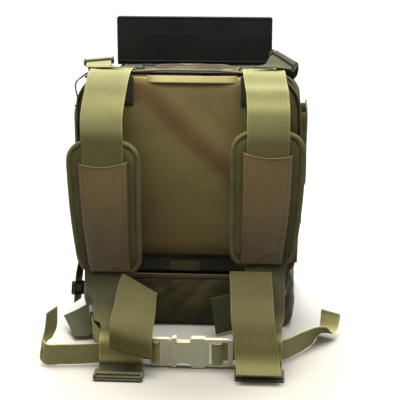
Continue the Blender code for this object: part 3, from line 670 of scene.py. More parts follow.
def stitches(name, rows, look, body=ROOT, stitch=0.0026, pitch=0.0038, thick=0.00045):
    """Rows of sewn stitches on the wearer's side, each a small rounded bead lying along its row."""
    up = Vector((0.0, -1.0, 0.0))
    places = []
    for row in rows:
        for place, along in even_places([Vector(point) for point in row], pitch):
            side = along.cross(up).normalized()
            places.append((place, along * (stitch / 2), side * thick, up * thick))
    return piece(name, beads(name, places), look, body=body)


def keep_cut(made, cutters):
    """Cut the given forms out of a piece for good."""
    tools = []
    for shape in cutters:
        tool = added("cutter", finished(shape, "cutter"))
        modify(made, "BOOLEAN", operation="DIFFERENCE", solver="EXACT", object=tool)
        tools.append(tool)
    keep_evaluated(made)
    for tool in tools:
        bpy.data.objects.remove(tool, do_unlink=True)
    made.data.shade_smooth()


def crumple(place, scale, stretch=(1.0, 1.0, 1.0)):
    """Soft ridged noise from 0 to 1, for creases that run along the stretched direction."""
    spot = Vector(place[axis] * scale / stretch[axis] for axis in range(3))
    return 1 - min(1.0, abs(noise.noise(spot)) * 2.4)


# ---- fabric body
SHOULDER = 0.045
TOP_FALL = 0.012
FABRIC = 0.003


def fallen_top(shape, low, high):
    """Lower the far side of the pack's top, as the CAD shell does."""
    for vert in shape.verts:
        share = (vert.co.y - low.y) / (high.y - low.y)
        lift = max(0.0, (vert.co.z - (high.z - SHOULDER)) / SHOULDER)
        vert.co.z -= TOP_FALL * share * lift


def main_shell():
    low, high = span("main_compartment")
    shape = soft_block(low, high, 1, (SHOULDER, 0.014), 0.007, 0.005)
    fallen_top(shape, low, high)

    def sag(place, normal):
        fold = crumple(place, 16.0, (1.0, 1.6, 2.2)) ** 3
        drift = noise.noise(place * 9.0)
        return -normal * (0.0022 * fold + 0.0012 * max(0.0, drift))

    mould(shape, sag)
    wall = Vector((FABRIC, FABRIC, FABRIC)) * 1.6
    inner = soft_block(low + wall, high - wall, 1, (SHOULDER - FABRIC, 0.011), 0.004, 0.012)
    fallen_top(inner, low + wall, high - wall)
    mouth = soft_block((-0.055, -0.064, high.z - 0.04), (0.055, 0.026, high.z + 0.02), 2, (0.006, 0.006),
                       0.002, 0.01)
    cloth("shell_fabric", shape, "camo_fabric", "main_compartment", cutters=(inner, mouth))
    arc = [(SHOULDER * math.sin(turn), SHOULDER * math.cos(turn))
           for turn in (math.pi / 2 * step / 8 for step in range(9))]
    for name, y in (("near", low.y + 0.0018), ("far", high.y - 0.0018)):
        fall = TOP_FALL * (y - low.y) / (high.y - low.y)
        right = [(high.x - SHOULDER + out, y, high.z - SHOULDER + up - fall * up / SHOULDER)
                 for out, up in arc]
        if name == "far":               # it dips behind the flap's hinge
            right.insert(0, (0.062, y + 0.0016, high.z - fall - 0.0022))
        right += [(high.x, y, 0.2), (high.x, y, 0.12), (high.x - 0.001, y, low.z + 0.014)]
        tube(f"shell_piping_{name}", mirrored(right) + right, 0.0014, steps=3)


def back_panel():
    """Padded panel: swollen by simulation, flat where it meets the shell and under the anchor patches."""
    low, high = span("back_panel")
    inset = Vector((0.0016, 0.0014, 0.0016))
    shape = soft_block(low + inset, high - inset, 1, (0.03, 0.014), 0.0052, 0.004)

    def puff(place, normal):
        front = max(0.0, -normal.y)
        fold = crumple(place, 11.0, (2.6, 1.0, 1.0)) ** 4
        return Vector((0.0, -1.0, 0.0)) * front * (0.0006 * noise.noise(place * 14.0) - 0.0008 * fold)

    mould(shape, puff)
    made = piece("panel_fabric", finished(shape, "panel_fabric"), "panel_fabric",
                 "back_panel")
    inflate(made, 0.004, 4.0, 0.0022)
    patches = [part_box(f"anchor_patch_{side}") for side in SIDES]
    for vert in made.data.vertices:
        vert.co.y = min(vert.co.y, high.y)
        for patch_low, patch_high in patches:
            inside_x = patch_low[0] - 0.003 < vert.co.x < patch_high[0] + 0.003
            if inside_x and patch_low[2] - 0.003 < vert.co.z < patch_high[2] + 0.003:
                vert.co.y = max(vert.co.y, low.y + 0.0002)
    flat_coordinates(made.data)
    modify(made, "SUBSURF", render_levels=1)


def sheet_grid(columns, rows, surface):
    """An open sheet of even cells whose points are surface(column share, row share)."""
    shape = bmesh.new()
    grid = [[shape.verts.new(surface(i / columns, j / rows)) for i in range(columns + 1)]
            for j in range(rows + 1)]
    for row, following in zip(grid, grid[1:]):
        for i in range(columns):
            shape.faces.new((row[i], row[i + 1], following[i + 1], following[i]))
    return shape


def panel_roll():
    """The panel's top edge, rolled over and sewn down between the straps in paler cloth, lightened further by
    a painted highlight of the light from above.
    """
    low, high = span("back_panel")
    middle, half, across, tall = 0.006, 0.053, 0.0034, 0.009

    def surface(u, v):
        """The lip's sloping face, from its top at v = 0 round to its foot at v = 1."""
        x = half * (2 * u - 1)
        plump = 1 - 0.25 * noise.noise(Vector((x * 38, 0.7, 2.1))) - 0.9 * abs(x / half) ** 10
        out = v / 0.8 if v < 0.8 else math.sqrt(max(0.0, 1 - ((v - 0.8) / 0.2) ** 2))
        return Vector((middle + x, low.y + 0.0016 - across * plump * out, high.z - 0.0026 - tall * v))

    thicken(cloth("panel_roll", sheet_grid(60, 12, surface), "khaki_fold"), 0.0008)


def lumbar():
    low, high = span("lumbar_band")
    shape = soft_block(low, high, 1, (0.003, 0.003), 0.0012, 0.004)
    mould(shape, lambda place, normal: normal * 0.0004 * noise.noise(place * 60.0))
    cloth("lumbar_mesh", shape, "black_fabric", "lumbar_band")
    tab = soft_block(*span("lumbar_tab"), 1, (0.003, 0.003), 0.001, 0.002)
    cloth("tab_fabric", tab, "base_camo", "lumbar_tab")


def bottom_compartment():
    low, high = span("bottom_compartment")
    shape = soft_block(low, high, 2, (0.02, 0.02), 0.01, 0.004)

    def sag(place, normal):
        upright = 1 - abs(normal.z)
        share = (place.z - low.z) / (high.z - low.z)
        belly = 0.003 * math.sin(math.pi * min(1.0, share * 1.05)) * upright
        fold = crumple(place, 15.0, (1.0, 1.0, 2.4)) ** 3
        slope = Vector((place.x + place.z, place.y, place.z - place.x))
        cross = crumple(slope + Vector((3.1, 0.4, 1.7)), 24.0, (2.6, 1.0, 0.7)) ** 4
        outward = normal * (belly - 0.0024 * fold * upright - 0.0034 * cross * upright)
        return Vector((outward.x, outward.y, 0.0))

    mould(shape, sag)
    cloth("base_fabric", shape, "base_camo", "bottom_compartment")
    seam_low, seam_high = span("base_piping")
    seam = [(x, seam_low.y + 0.0018 + 0.005 * max(0.0, abs(x) - 0.1) / 0.02, seam_high.z - 0.0018)
            for x in (-0.12, -0.1, -0.05, 0.0, 0.05, 0.1, 0.12)]
    tube("base_seam", seam, 0.0011, node="base_piping")


def top_flap():
    """The soft lid over the mouth, with a bound edge."""
    half, back, far = 0.06, -0.0645, 0.033
    shell_low, shell_high = span("main_compartment")

    def surface(u, v):
        y = back + (far - back) * (v + 1) / 2
        fall = TOP_FALL * (y - shell_low.y) / (shell_high.y - shell_low.y)
        crown = 0.0042 * (1 - u ** 4) * (1 - v ** 2)
        pucker = 0.0008 * noise.noise(Vector((u * 3.5, v * 3.0, 0.3))) * (1 - u ** 6)
        return Vector((half * u, y, shell_high.z + 0.0022 - fall + crown + pucker))

    shape = bmesh.new()
    bmesh.ops.create_grid(shape, x_segments=44, y_segments=34, size=1.0)
    for vert in shape.verts:
        vert.co = surface(vert.co.x, vert.co.y)
    made = cloth("flap_fabric", shape, "flap_camo", "top_flap", "top_flap")
    thicken(made, 0.0026, 0.0)
    rim = [surface(0.97, v / 6) for v in range(-6, 7)]
    front = [surface(-u / 6, -0.985) for u in range(-5, 6)]
    other = [surface(-0.97, -v / 6) for v in range(-6, 7)]
    tube("flap_binding", other + front[::-1] + rim, 0.0016, "top_flap", steps=2)


def side_pockets():
    wall = 0.0018
    for side, sign in SIDES.items():
        low, high = span(f"side_pocket_{side}")
        shape = soft_block(low, high, 0, (0.01, 0.01), 0.0028, 0.003)
        mould(shape, lambda place, normal: -normal * 0.0008 * crumple(place, 30.0, (1.0, 1.0, 2.0)) ** 2)
        well = cage((low.x + wall, low.y + 0.0025, low.z + 0.003),
                    (high.x - wall, high.y - 0.0025, high.z + 0.012), 0.02)
        cloth(f"pocket_fabric_{side}", shape, "pad_fabric", f"side_pocket_{side}",
              cutters=(well,))
        x = high.x - 0.0012 if sign > 0 else low.x + 0.0012
        rim = [(x, low.y + 0.006 + (high.y - low.y - 0.012) * step / 6, high.z + 0.0003) for step in range(7)]
        tube(f"pocket_hem_{side}", rim, 0.0011)


# ---- zips
def zip_path():
    low, high = span("main_compartment")
    centre_x, centre_z = high.x - SHOULDER, high.z - SHOULDER
    y = -0.07
    radius = SHOULDER + 0.0004
    arc = [(centre_x + radius * math.cos(turn), y, centre_z + radius * math.sin(turn))
           for turn in (math.pi / 2 * step / 16 for step in range(17))]
    right = [(high.x + 0.0004, y, 0.13 + 0.143 * step / 12) for step in range(12)] + arc
    top = [(centre_x * (1 - step / 6), y, high.z + 0.0004) for step in range(1, 12)]
    return [Vector(place) for place in right + top + mirrored(right)]


ACROSS = Vector((0.0, 1.0, 0.0))        # the way that every zip's teeth lie
TOOTH_PITCH, TOOTH_RISE = 0.0012, 0.0011


def teeth(name, path, node=None, gauge=0.0016):
    """A closed coil zip: small teeth that lie across the track, from alternate sides."""
    places = []
    for number, (place, along) in enumerate(even_places(path, TOOTH_PITCH)):
        up = along.cross(ACROSS).normalized()
        reach = gauge * (0.35 if number % 2 else -0.35)
        centre = place + ACROSS * reach + up * TOOTH_RISE * 0.5
        places.append((centre, along * (TOOTH_PITCH * 0.36), ACROSS * gauge, up * TOOTH_RISE))
    piece(name, beads(name, places), "black_plastic", node)


def zip_tape(path, width):
    """Thin flat cloth under the main zip's teeth."""
    shape = bmesh.new()
    layer = shape.loops.layers.uv.new("UVMap")
    half = ACROSS * width / 2
    rows = []
    travelled = 0.0
    for number, place in enumerate(path):
        travelled += (place - path[max(0, number - 1)]).length
        rows.append((shape.verts.new(place - half), shape.verts.new(place + half), travelled))
    for (low, high, start), (next_low, next_high, end) in zip(rows, rows[1:]):
        face = shape.faces.new((low, high, next_high, next_low))
        for loop, uv in zip(face.loops, ((0, start), (width, start), (width, end), (0, end))):
            loop[layer].uv = uv
    thicken(piece("zip_tape", finished(shape, "zip_tape"), "zip_black"), 0.0006, 0.0)


def main_zip():
    path = zip_path()
    zip_tape(path, 0.01)
    teeth("zip_teeth", path, "main_zip")
    hard("black_plastic", 0.0006, 3, "zip_slider_top", "zip_slider_side", "zip_pull_top", "zip_pull_side",
         "front_zip_slider")


def pull_cord():
    cord = [PULL_PIN + Vector(step) for step in CORD_STEPS]
    made = tube("pull_cord", cord, CORD_THICK / 2, "zip_pull_side", "zip_black", "zip_pull_cord",
                steps=2, resolution=4)


# ---- outer compartment and hard case
def case_sleeve():
    low, high = span("case_sleeve")
    shape = soft_block(low, high, 2, (0.012, 0.002), 0.0016, 0.004)

    def sag(place, normal):
        outer = 1.0 if normal.y > 0.3 or abs(normal.x) > 0.5 else 0.0
        return -normal * outer * 0.0007 * crumple(place, 18.0, (1.0, 1.0, 2.0)) ** 2

    mould(shape, sag)
    well = soft_block((low.x + 0.0025, low.y + 0.002, low.z + 0.002),
                      (high.x - 0.0025, high.y - 0.0025, high.z + 0.02), 2, (0.009, 0.001), 0.001, 0.02)
    cloth("sleeve_camo", shape, "camo_fabric", "case_sleeve", cutters=(well,))
    right = [(high.x - in_x, y, high.z) for in_x, y in ((0.012, high.y - 0.001), (0.004, high.y - 0.004),
                                                        (0.001, high.y - 0.012), (0.001, low.y + 0.004))]
    left = mirrored(right)
    tube("sleeve_hem", left + [(0.0, high.y - 0.001, high.z)] + right, 0.0013, steps=5)


def hard_case():
    hard("case_plastic", 0.0005, 2, "case_tub", "case_lid", "case_latch")
    hard("tray_plastic", 0.00025, 2, "case_tray", "tray_divider_1", "tray_divider_2", "tray_divider_3")
    paint("pin_steel", "latch_pin", "lid_hinge_pin_left", "lid_hinge_pin_right")
    paint("stiffener", "frame_sheet")


LID_FOOT = 0.3095


def lid_trim():
    """Raised mouldings on the lid's outer face: strips along its top and foot edges and a step across it."""
    low, high = span("case_lid")
    for name, at, tall, proud in (("top", high.z - 0.0012, 0.0024, 0.0006),
                                  ("step", high.z - 0.0215, 0.001, 0.0004),
                                  ("foot", LID_FOOT + 0.0046, 0.0022, 0.0009)):
        foot = (low.x + 0.001, low.y - proud, at - tall / 2)
        top = (high.x - 0.001, low.y + 0.0004, at + tall / 2)
        shape = soft_block(foot, top, 1, (0.0006, 0.0006), 0.0003, 0.004)
        piece(f"lid_{name}", finished(shape, name), "case_plastic", body="case_lid")


def front_pocket():
    low, high = span("front_pocket")
    shape = soft_block(low, high, 1, (0.014, 0.014), 0.005, 0.004)

    def puff(place, normal):
        far = max(0.0, normal.y)
        u = place.x / high.x
        v = 2 * (place.z - low.z) / (high.z - low.z) - 1
        crown = 0.0042 * (1 - u ** 4) * (1 - v ** 4)
        return Vector((0.0, far * (crown - 0.0018 * crumple(place, 20.0, (1.4, 1.0, 1.4)) ** 3), 0.0))

    mould(shape, puff)
    inner = cage((low.x + 0.002, low.y + 0.002, low.z + 0.002),
                 (high.x - 0.002, high.y - 0.002, high.z - 0.006), 0.02)
    mouth = cage((-0.072, 0.1185, high.z - 0.015), (0.072, 0.1275, high.z + 0.015), 0.02)
    cloth("pocket_camo", shape, "camo_fabric", "front_pocket", cutters=(inner, mouth))
    y = high.y - 0.004
    right = [(high.x - 0.0005, y, z) for z in (0.095, 0.14, 0.19)]
    right += [(high.x - 0.004, y, high.z - 0.004), (0.07, y, high.z - 0.0004)]
    left = mirrored(right)
    tube("pocket_piping", right + [(0.0, y, high.z - 0.0004)] + left, 0.0013)
    for number, y in enumerate((0.1188, 0.1272)):
        row = [Vector((x / 1000, y, high.z + 0.0002)) for x in range(-70, 71, 10)]
        teeth(f"pocket_teeth_{number + 1}", row, gauge=0.0009)


# ---- shoulder straps
WEBBING, BELT, LIFTER = 0.05, 0.025, 0.03       # widths
PAD_X = {"left": -0.0988, "right": 0.0978}
FLOOR_WEB = 0.0036
STRAP_FOOT_X = {"left": -0.066, "right": 0.0925}
STRAP_TOP_X = 0.0905
PAD_PLANE = -0.1187         # where a strap lies inside its pad's sleeve
PAD_TAPER = 0.0135          # how far a pad's outer edge slants in at its foot
PAD_TOP_ROUND, PAD_FOOT_ROUND = 0.024, 0.018
LEVEL, UPRIGHT = (1.0, 0.0, 0.0), (0.0, 0.0, 1.0)


def slanted(side, x, share):
    """Pull a pad's outer half in towards its foot; share is 0 at the foot and 1 at the top."""
    sign = SIDES[side]
    low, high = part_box(f"shoulder_pad_{side}")
    inner = high.x if sign < 0 else low.x
    reach = abs(x - inner) / (high.x - low.x)
    return x - sign * PAD_TAPER * reach * (1 - min(1.0, max(0.0, share))) ** 2.4


def shoulder_webbing(side):
    x = PAD_X[side]
    top_x = SIDES[side] * STRAP_TOP_X
    foot = STRAP_FOOT_X[side]
    low = list(span(f"shoulder_pad_{side}"))[0].z
    slider_low, slider_high = span(f"strap_slider_{side}")
    slide_y = (slider_low.y + slider_high.y) / 2
    front = slide_y + 0.0235        # where the strap passes in front of the belt
    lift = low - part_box("shoulder_pad_left")[0][2]

    def over(share, y, z):
        """A point on the strap's way over the shoulder, share of the way from the top to the pad."""
        return ((1 - share) * top_x + share * x, y, z)

    points = [over(0.0, -0.034, 0.3152), over(0.0, -0.056, 0.3197), over(0.0, -0.073, 0.3228),
              over(0.15, -0.09, 0.3205), over(0.4, -0.1005, 0.3105), over(0.65, -0.1085, 0.297 + lift / 2),
              over(0.88, -0.1143, 0.282 + 0.7 * lift), (x, -0.1174, 0.269 + lift)]
    points += [(x, PAD_PLANE, z) for z in (0.256 + lift, 0.238 + lift, 0.19, 0.12, low + 0.004)]
    points += [(x * 0.985, PAD_PLANE - 0.006, low - 0.01), (0.6 * x + 0.4 * foot, -0.148, low - 0.0245),
               (0.35 * x + 0.65 * foot, -0.185, 0.045)]
    points += [(foot, y, z) for y, z in (
        (front + 0.013, 0.048), (front, 0.035), (front - 0.001, 0.014), (front - 0.004, 0.006),
        (front - 0.01, FLOOR_WEB), (slide_y, FLOOR_WEB), (slide_y - 0.009, FLOOR_WEB))]
    webbing(f"shoulder_strap_{side}", "webbing_khaki", "webbing_khaki", f"shoulder_webbing_{side}", points,
            LEVEL, WEBBING)
    hard("slider_plastic", 0.0006, 3, f"strap_slider_{side}")


def shoulder_pad(side):
    """A foam pad swollen by simulation, its bound edge, and the coated sleeve sewn on its face."""
    body = f"shoulder_pad_{side}"
    low, high = span(body)
    inset = Vector((0.0012, 0.001, 0.0012))
    shape = soft_block(low + inset, high - inset, 1, (PAD_TOP_ROUND, PAD_FOOT_ROUND), 0.0045, 0.0035)

    def lean(place, normal):
        share = (place.z - low.z) / (high.z - low.z)
        dent = -0.0006 * crumple(place, 26.0, (1.6, 1.0, 1.0)) ** 3 * abs(normal.y)
        return Vector((slanted(side, place.x, share) - place.x, -normal.y * dent, 0.0))

    mould(shape, lean)
    made = piece(f"pad_fabric_{side}", finished(shape, "pad"), "pad_fabric", body, body)
    inflate(made, 0.004, 4.0, 0.0016)
    for vert in made.data.vertices:
        vert.co.y = min(max(vert.co.y, low.y), high.y)
    flat_coordinates(made.data)
    modify(made, "SUBSURF", render_levels=1)
    rim = [Vector((x, (low.y + high.y) / 2, z)) for x, z in pad_outline(side, low, high, 0.0024)]
    tube(f"pad_binding_{side}", rim + rim[:1], 0.0036, body, steps=3)
    pad_sleeve(side, body, low, high)


def pad_outline(side, low, high, inset):
    """X and Z of points round a pad's edge."""
    top, foot = PAD_TOP_ROUND, PAD_FOOT_ROUND
    outline = []
    corners = ((1, 1, top), (-1, 1, top), (-1, -1, foot), (1, -1, foot))
    for number, (sign_x, sign_z, radius) in enumerate(corners):
        centre_x = (high.x if sign_x > 0 else low.x) - sign_x * radius
        centre_z = (high.z if sign_z > 0 else low.z) - sign_z * radius
        arc = [(centre_x + (radius - inset) * math.cos(turn), centre_z + (radius - inset) * math.sin(turn))
               for turn in (math.radians(90.0 * (number + step / 4)) for step in range(5))]
        if sign_x * sign_z < 0:         # the long side that this corner leads to, in even steps
            goal = (low.z + foot) if sign_x < 0 else (high.z - top)
            x, z = arc[-1]
            arc += [(x, z + (goal - z) * step / 8) for step in range(1, 8)]
        outline += [(slanted(side, x, (z - low.z) / (high.z - low.z)), z) for x, z in arc]
    return outline


def pad_sleeve(side, body, low, high):
    sleeve_low, sleeve_high = span(f"pad_sleeve_{side}")
    tall = sleeve_high.z - sleeve_low.z
    wide = sleeve_high.x - sleeve_low.x
    face, back = sleeve_low.y, sleeve_high.y

    def surface(u, v):
        dip = 0.0045 * math.sin(math.pi * u) * v ** 6
        lift = 0.0026 * (u if side == "left" else 1 - u) * v ** 6
        z = sleeve_low.z + tall * v - dip - 0.0026 * v ** 6 + lift
        x = slanted(side, sleeve_low.x + wide * u, (z - low.z) / (high.z - low.z))
        rise = max(0.0, 1 - abs(2 * u - 1) ** 14)
        fold = 0.00035 * noise.noise(Vector((u * 2.2, v * 5.0, 1.3)))
        crease = 0.0005 * crumple(Vector((u * 0.8, v * 3.2, 0.7 if side == "left" else 2.2)), 1.6) ** 6
        return Vector((x, back + (face - back) * rise + (fold - crease) * rise + 0.0003, z))

    made = cloth(f"sleeve_fabric_{side}", sheet_grid(46, 80, surface), "sleeve_fabric",
                 f"pad_sleeve_{side}", body)
    thicken(made, 0.0012, 0.0)
    proud = Vector((0.0, -0.0007, 0.0))
    rows = [[surface(u / 12, 0.985) + proud for u in range(1, 12)]]
    rows += [[surface(u, v / 20) + proud for v in range(1, 20)] for u in (0.075, 0.925)]
    stitches(f"sleeve_stitches_{side}", rows, "sleeve_thread", body)
    hem = [surface(u / 16, 0.997) for u in range(17)]
    tube(f"sleeve_hem_{side}", hem, 0.0009, body, "sleeve_fabric", steps=3)


def anchor_patch(side):
    """A folded end of dark webbing sewn to the panel with a boxed cross of stitches."""
    low, high = span(f"anchor_patch_{side}")
    middle = (low + high) / 2
    y = middle.y
    points = [(middle.x, y, low.z), (middle.x, y - 0.0002, middle.z), (middle.x, y, high.z)]
    webbing(f"patch_webbing_{side}", "patch_dark", "webbing_dark", f"anchor_patch_{side}", points, LEVEL,
            high.x - low.x, ribs=14, steps=6, rib_height=0.00008)
    a, b = low + Vector((0.004, 0, 0.004)), high - Vector((0.004, 0, 0.004))
    corner = [(x, y - 0.0009, z) for x, z in ((a.x, a.z), (b.x, a.z), (b.x, b.z), (a.x, b.z))]
    rows = [corner + corner[:1], corner[0:3:2], corner[1:4:2]]
    stitches(f"patch_stitches_{side}", rows, "dark_thread", ROOT, 0.0022, 0.0031, 0.0003)


def strap_tails():
    """The loose webbing ends in front of the pads; the right one is a little frayed."""
    left = mm(-53, -141.8, 74.8, -53.5, -154, 73.2, -53.8, -174, 66.8, -54, -199, 58, -53.5, -218, 56,
              -53, -234, 45, -52.5, -240, 26)
    turned = [(0.87, -0.34, -0.36), (0.9, -0.28, -0.33), (0.95, -0.16, -0.26), (0.97, -0.06, -0.22),
              (0.97, 0.0, -0.22), (0.97, 0.0, -0.25), (0.97, 0.0, -0.25)]
    right = mm(79.5, -133, 89.3, 80.2, -152, 86.8, 82, -185, 73.5, 84.5, -212, 59, 87.5, -229, 38.5,
               90.5, -240, 19.5, 92.8, -255, 10)
    for side, points, across, bow in (("left", left, turned, -0.0014), ("right", right, LEVEL, 0.0012)):
        webbing(f"tail_{side}", "webbing_tail", "webbing_khaki", f"strap_tail_{side}", points, across,
                WEBBING, steps=10, bow=bow)
    before, end = Vector(right[-2]), Vector(right[-1])
    frayed("tail_fray", end, Vector(LEVEL), (end - before).normalized(), WEBBING)


def frayed(name, end, way, along, width):
    """Short loose threads along a raw webbing end."""
    shape = bmesh.new()
    threads = 46
    for number in range(threads):
        share = (number + 0.5) / threads - 0.5
        wild = noise.noise(Vector((number * 0.91, 3.1, 0.2)))
        reach = 0.0008 + 0.0016 * abs(noise.noise(Vector((number * 1.7, 0.4, 5.2))))
        start = end + way * share * width
        tip = start + along * reach + way * wild * 0.0008 + Vector((0, 0, 0.0006 * wild))
        run = tip - start
        turn = run.to_track_quat("Z", "Y").to_matrix().to_4x4()
        bmesh.ops.create_cone(shape, cap_ends=True, segments=5, radius1=0.00022, radius2=0.0001,
                              depth=run.length, matrix=Matrix.Translation((start + tip) / 2) @ turn)
    piece(name, finished(shape, name), "thread")


def lower_anchors():
    flat = (0.0, 0.15, 0.99)
    left = mm(-95, -94, 29, -105, -108, 25, -117, -119.5, 19, -130, -122.2, 13.5, -144, -123.5, 10.5)
    right = mm(78, -95, 28, 64, -102, 27.5, 48, -111, 26.5, 34, -119, 25.5)
    tilted = [flat, (-0.15, 0.55, 0.8), (-0.25, 0.75, 0.6), (-0.35, 0.82, 0.42), (-0.42, 0.85, 0.22)]
    upright = [flat, flat, (0.0, 0.2, 0.97), (-0.15, 0.1, 0.97)]
    for side, points, ways in (("left", left, tilted), ("right", right, upright)):
        webbing(f"anchor_end_{side}", "webbing_dark", "webbing_dark", f"lower_anchor_{side}", points, ways,
                0.046, ribs=15, rib_height=0.00006)


LIFTER_CENTRE = {"left": Vector((-0.111, -0.045, 0.3266)), "right": Vector((0.113, -0.045, 0.3299))}
LIFTER_ALONG = {"left": Vector((-0.1, 0.97, 0.05)).normalized(),
                "right": Vector((0.2, 0.95, 0.1)).normalized()}
LIFTER_FRONT = {"left": 0.018, "right": -0.013}     # how far the front end lies to one side
LIFTER_ACROSS = {"left": (1.0, 0.1, 0.08), "right": (0.866, 0.0, -0.5)}


def lifter(side):
    """Upper lifter webbing from the shoulder webbing back to the pack's top, with its slider."""
    centre, along, across = LIFTER_CENTRE[side], LIFTER_ALONG[side], LIFTER_ACROSS[side]
    sign = SIDES[side]
    run = [centre + along * step for step in (-0.018, -0.009, 0.0, 0.009, 0.018)]
    front = [centre - along * 0.038 + Vector((LIFTER_FRONT[side], 0.0, 0.001)), centre - along * 0.028]
    rear = [centre + along * 0.032 - Vector((0.0, 0.0, 0.006)), Vector((sign * 0.1175, 0.0, 0.31)),
            Vector((sign * 0.115, 0.011, 0.3048))]
    turning = tuple(Vector(across).lerp(Vector(LEVEL), 0.6))
    ways = [LEVEL, turning] + [across] * 6 + [(1.0, 0.0, -0.38 * sign), (1.0, 0.0, -0.62 * sign)]
    webbing(f"lifter_strap_{side}", "lifter_pale" if side == "left" else "lifter_dark", "webbing_olive",
            f"lifter_webbing_{side}", front + run + rear, ways, LIFTER, ribs=12, steps=6, rib_height=0.0001)
    hard("black_plastic", 0.0005, 2, f"lifter_slider_{side}")


# ---- waist belt and buckle
BELT_AT = (0.0, -0.212, 0.0)
BELTING = {"width": BELT, "ribs": 12, "steps": 6, "rib_height": 0.00007}


def belt_webbing():
    left = mm(-23.6, 4, 18.7, -23.8, -3, 18.7, -27.3, -4.7, 18.7, -30.3, -2.8, 18.7, -30.7, 3.2, 18.7,
              -36, 5, 18.7, -70, 3, 16, -105, -1, 14, -136, -5, 13.2, -154, -6, 13.8, -160, 3, 16,
              -157, 13, 23, -153.5, 20, 33, -152.2, 23, 47, -151.5, 24, 57, origin=BELT_AT)
    left_ways = [UPRIGHT] * 9 + [(0.0, 0.1, 0.99), (0.1, 0.45, 0.85), (0.3, 0.85, -0.1), (0.4, 0.9, -0.1),
                                 (0.36, 0.93, 0.0), (0.32, 0.95, 0.0)]
    webbing("belt_left", "webbing_olive", "webbing_olive", "belt_webbing_left", left, left_ways,
            body="buckle_male", **BELTING)
    right = mm(37.5, 3, 18.7, 38.5, -3, 18.7, 43.5, -4.5, 18.7, 48.7, -3, 18.7, 50, 3.5, 18.7, 56, 6.8, 18.7,
               74, 9.5, 17, 96, 14, 14.8, 120, 24, 14.2, 139.5, 46, 14.2, 155, 68, 13.8, 165.5, 85, 12,
               171.5, 98, 7.2, 175.2, 105, 11.5, 177, 107, 20.5, 177.8, 107.5, 30, origin=BELT_AT)
    right_ways = [UPRIGHT] * 9 + [(0.05, 0.05, 0.99), (0.15, -0.15, 0.97), (0.45, -0.5, 0.7),
                                  (0.75, -0.6, 0.1), (0.85, -0.5, 0.0), (0.9, -0.4, 0.05),
                                  (0.92, -0.38, -0.1)]
    webbing("belt_right", "webbing_olive", "webbing_olive", "belt_webbing_right", right, right_ways,
            **BELTING)


def belt_anchors():
    ring = Vector((-0.112, -0.144, 0.033))
    along = Vector((0.19, -0.78, -0.59)).normalized()
    run = [ring + along * step for step in (-0.014, -0.007, 0.0, 0.007, 0.014)]
    left = mm(-119, -92.5, 69, -119, -105, 63) + run + mm(-102, -170, 18, -86, -186, 16, -68, -198, 16)
    left_ways = [(0.1, -0.2, 0.97), (0.1, -0.4, 0.9)] + [(0.1, -0.6, 0.79)] * 5 + [UPRIGHT] * 3
    right = mm(120, -93, 40, 119.5, -108, 36, 116, -130, 27, 108, -150, 19, 96, -170, 16, 82, -186, 16.5)
    right_ways = [(0.2, 0.1, 0.95)] + [UPRIGHT] * 5
    webbing("belt_tie_left", "webbing_khaki", "webbing_olive", "belt_anchor_left", left, left_ways,
            **BELTING)
    webbing("belt_tie_right", "webbing_olive", "webbing_olive", "belt_anchor_right", right, right_ways,
            **BELTING)
    hard("slider_plastic", 0.0004, 2, "belt_ring_left")
    hard("buckle_plastic", 0.0005, 3, "buckle_female", "buckle_male", "buckle_prong_upper",
         "buckle_prong_lower")


def compression_straps():
    right = mm(136.4, -50, 128, 137.4, -25, 128, 138, 0, 128, 137.4, 20, 128, 136.4, 34, 128)
    webbing("side_strap_right", "webbing_dark", "webbing_dark", "compression_strap_right", right, UPRIGHT,
            0.02, ribs=9, rib_height=0.00006)
    hanging = mm(-136.4, -20, 105, -139.9, -22, 86, -142.9, -26, 66, -145.4, -32, 47, -146.6, -38, 29,
                 -146.9, -42, 13)
    ways = [(0.0, 1.0, 0.0), (0.12, 0.98, 0.0), (0.22, 0.96, 0.0)] + [(0.3, 0.94, 0.0)] * 3
    webbing("side_strap_left", "webbing_khaki", "webbing_khaki", "compression_strap_left", hanging, ways,
            0.02, ribs=9, rib_height=0.00007)
    hard("black_plastic", 0.0004, 2, "compression_buckle_left", "compression_buckle_right")


# ---- floor and light
FLOOR_SHADOW_MIDDLE = (0.02, -0.23, 0.0)       # the middle of the floor's painted shadow, darkest under the buckle
FLOOR_SHADOW_PAINT, FLOOR_PALE = (0.46, 0.44, 0.385, 1.0), (0.93, 0.92, 0.9, 1.0)
SKY_LOW, SKY_HIGH = 0.07, 0.52
LIGHT_TONE = (1.0, 0.985, 0.955)
KEY = 2.9
KEY_SPREAD = 36.0                       # degrees
KEY_FROM = (-0.06, 0.6, 1.0)
TOP_WATTS = 4.6
TOP_AT = (0.0, -0.15, 0.66)


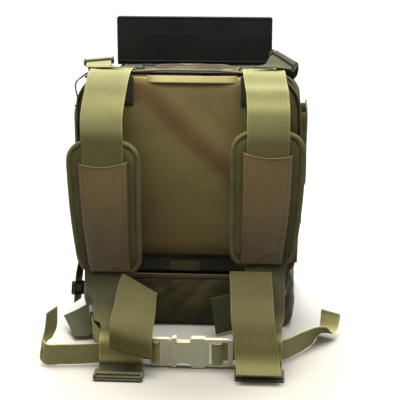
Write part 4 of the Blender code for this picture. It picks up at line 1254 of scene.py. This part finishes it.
def floor():
    shape = bmesh.new()
    bmesh.ops.create_grid(shape, x_segments=2, y_segments=2, size=12.0)
    look = Look("floor", 0.9)
    spot = look.node("VectorMath", {0: look.place(), 1: FLOOR_SHADOW_MIDDLE}, operation="DISTANCE").outputs["Value"]
    # painted shadow: the floor colour darkens round the pack and most under the buckle, standing in for the
    # shade cast on it
    near = look.blend(look.ramp(look.grain(1.2, 2.0), 0.3, 0.7), (0.59, 0.565, 0.5, 1.0),
                      (0.61, 0.585, 0.52, 1.0))
    near = look.blend(look.ramp(spot, 0.03, 0.13), FLOOR_SHADOW_PAINT, near)
    look.colour(look.blend(look.ramp(spot, 0.1, 0.36), near, FLOOR_PALE))
    made = added("floor", finished(shape, "floor", False))
    made.data.materials.append(look.material)
    made.location.z = -0.0004
    made.visible_diffuse = False        # the bright floor throws no light back up on the pack


def lamp(name, kind, **settings):
    data = bpy.data.lights.new(name, kind)
    data.color = LIGHT_TONE
    for key, value in settings.items():
        setattr(data, key, value)
    return added(name, data)


def light():
    """A big soft light overhead, and a sky that is bright above and dim below."""
    world = bpy.data.worlds.new("studio")
    bpy.context.scene.world = world
    world.use_nodes = True
    tree = world.node_tree
    height = add_node(tree, "SeparateXYZ", {0: add_node(tree, "TexCoord", {}).outputs["Generated"]}).outputs[2]
    fall = add_node(tree, "MapRange", {"Value": height, "From Min": 0.0, "From Max": 0.9, "To Min": SKY_LOW,
                                       "To Max": SKY_HIGH})
    sky = tree.nodes["Background"]
    sky.inputs["Color"].default_value = (*LIGHT_TONE, 1.0)
    tree.links.new(fall.outputs[0], sky.inputs["Strength"])
    key = lamp("key", "SUN", energy=KEY, angle=math.radians(KEY_SPREAD))
    key.rotation_euler = Vector(KEY_FROM).to_track_quat("Z", "Y").to_euler()
    top = lamp("top", "AREA", energy=TOP_WATTS, shape="RECTANGLE", size=0.7, size_y=0.34)
    top.location = TOP_AT
    top.visible_camera = False
    bpy.context.scene.view_settings.view_transform = "Standard"


# ---- build
for build in (camera, pull_cord, main_shell, back_panel, panel_roll, lumbar, bottom_compartment, top_flap,
              side_pockets, main_zip, case_sleeve, hard_case, lid_trim, front_pocket):
    build()
for each in SIDES:
    for build in (anchor_patch, shoulder_webbing, shoulder_pad, lifter):
        build(each)
for build in (strap_tails, lower_anchors, belt_webbing, belt_anchors, compression_straps, floor, light):
    build()
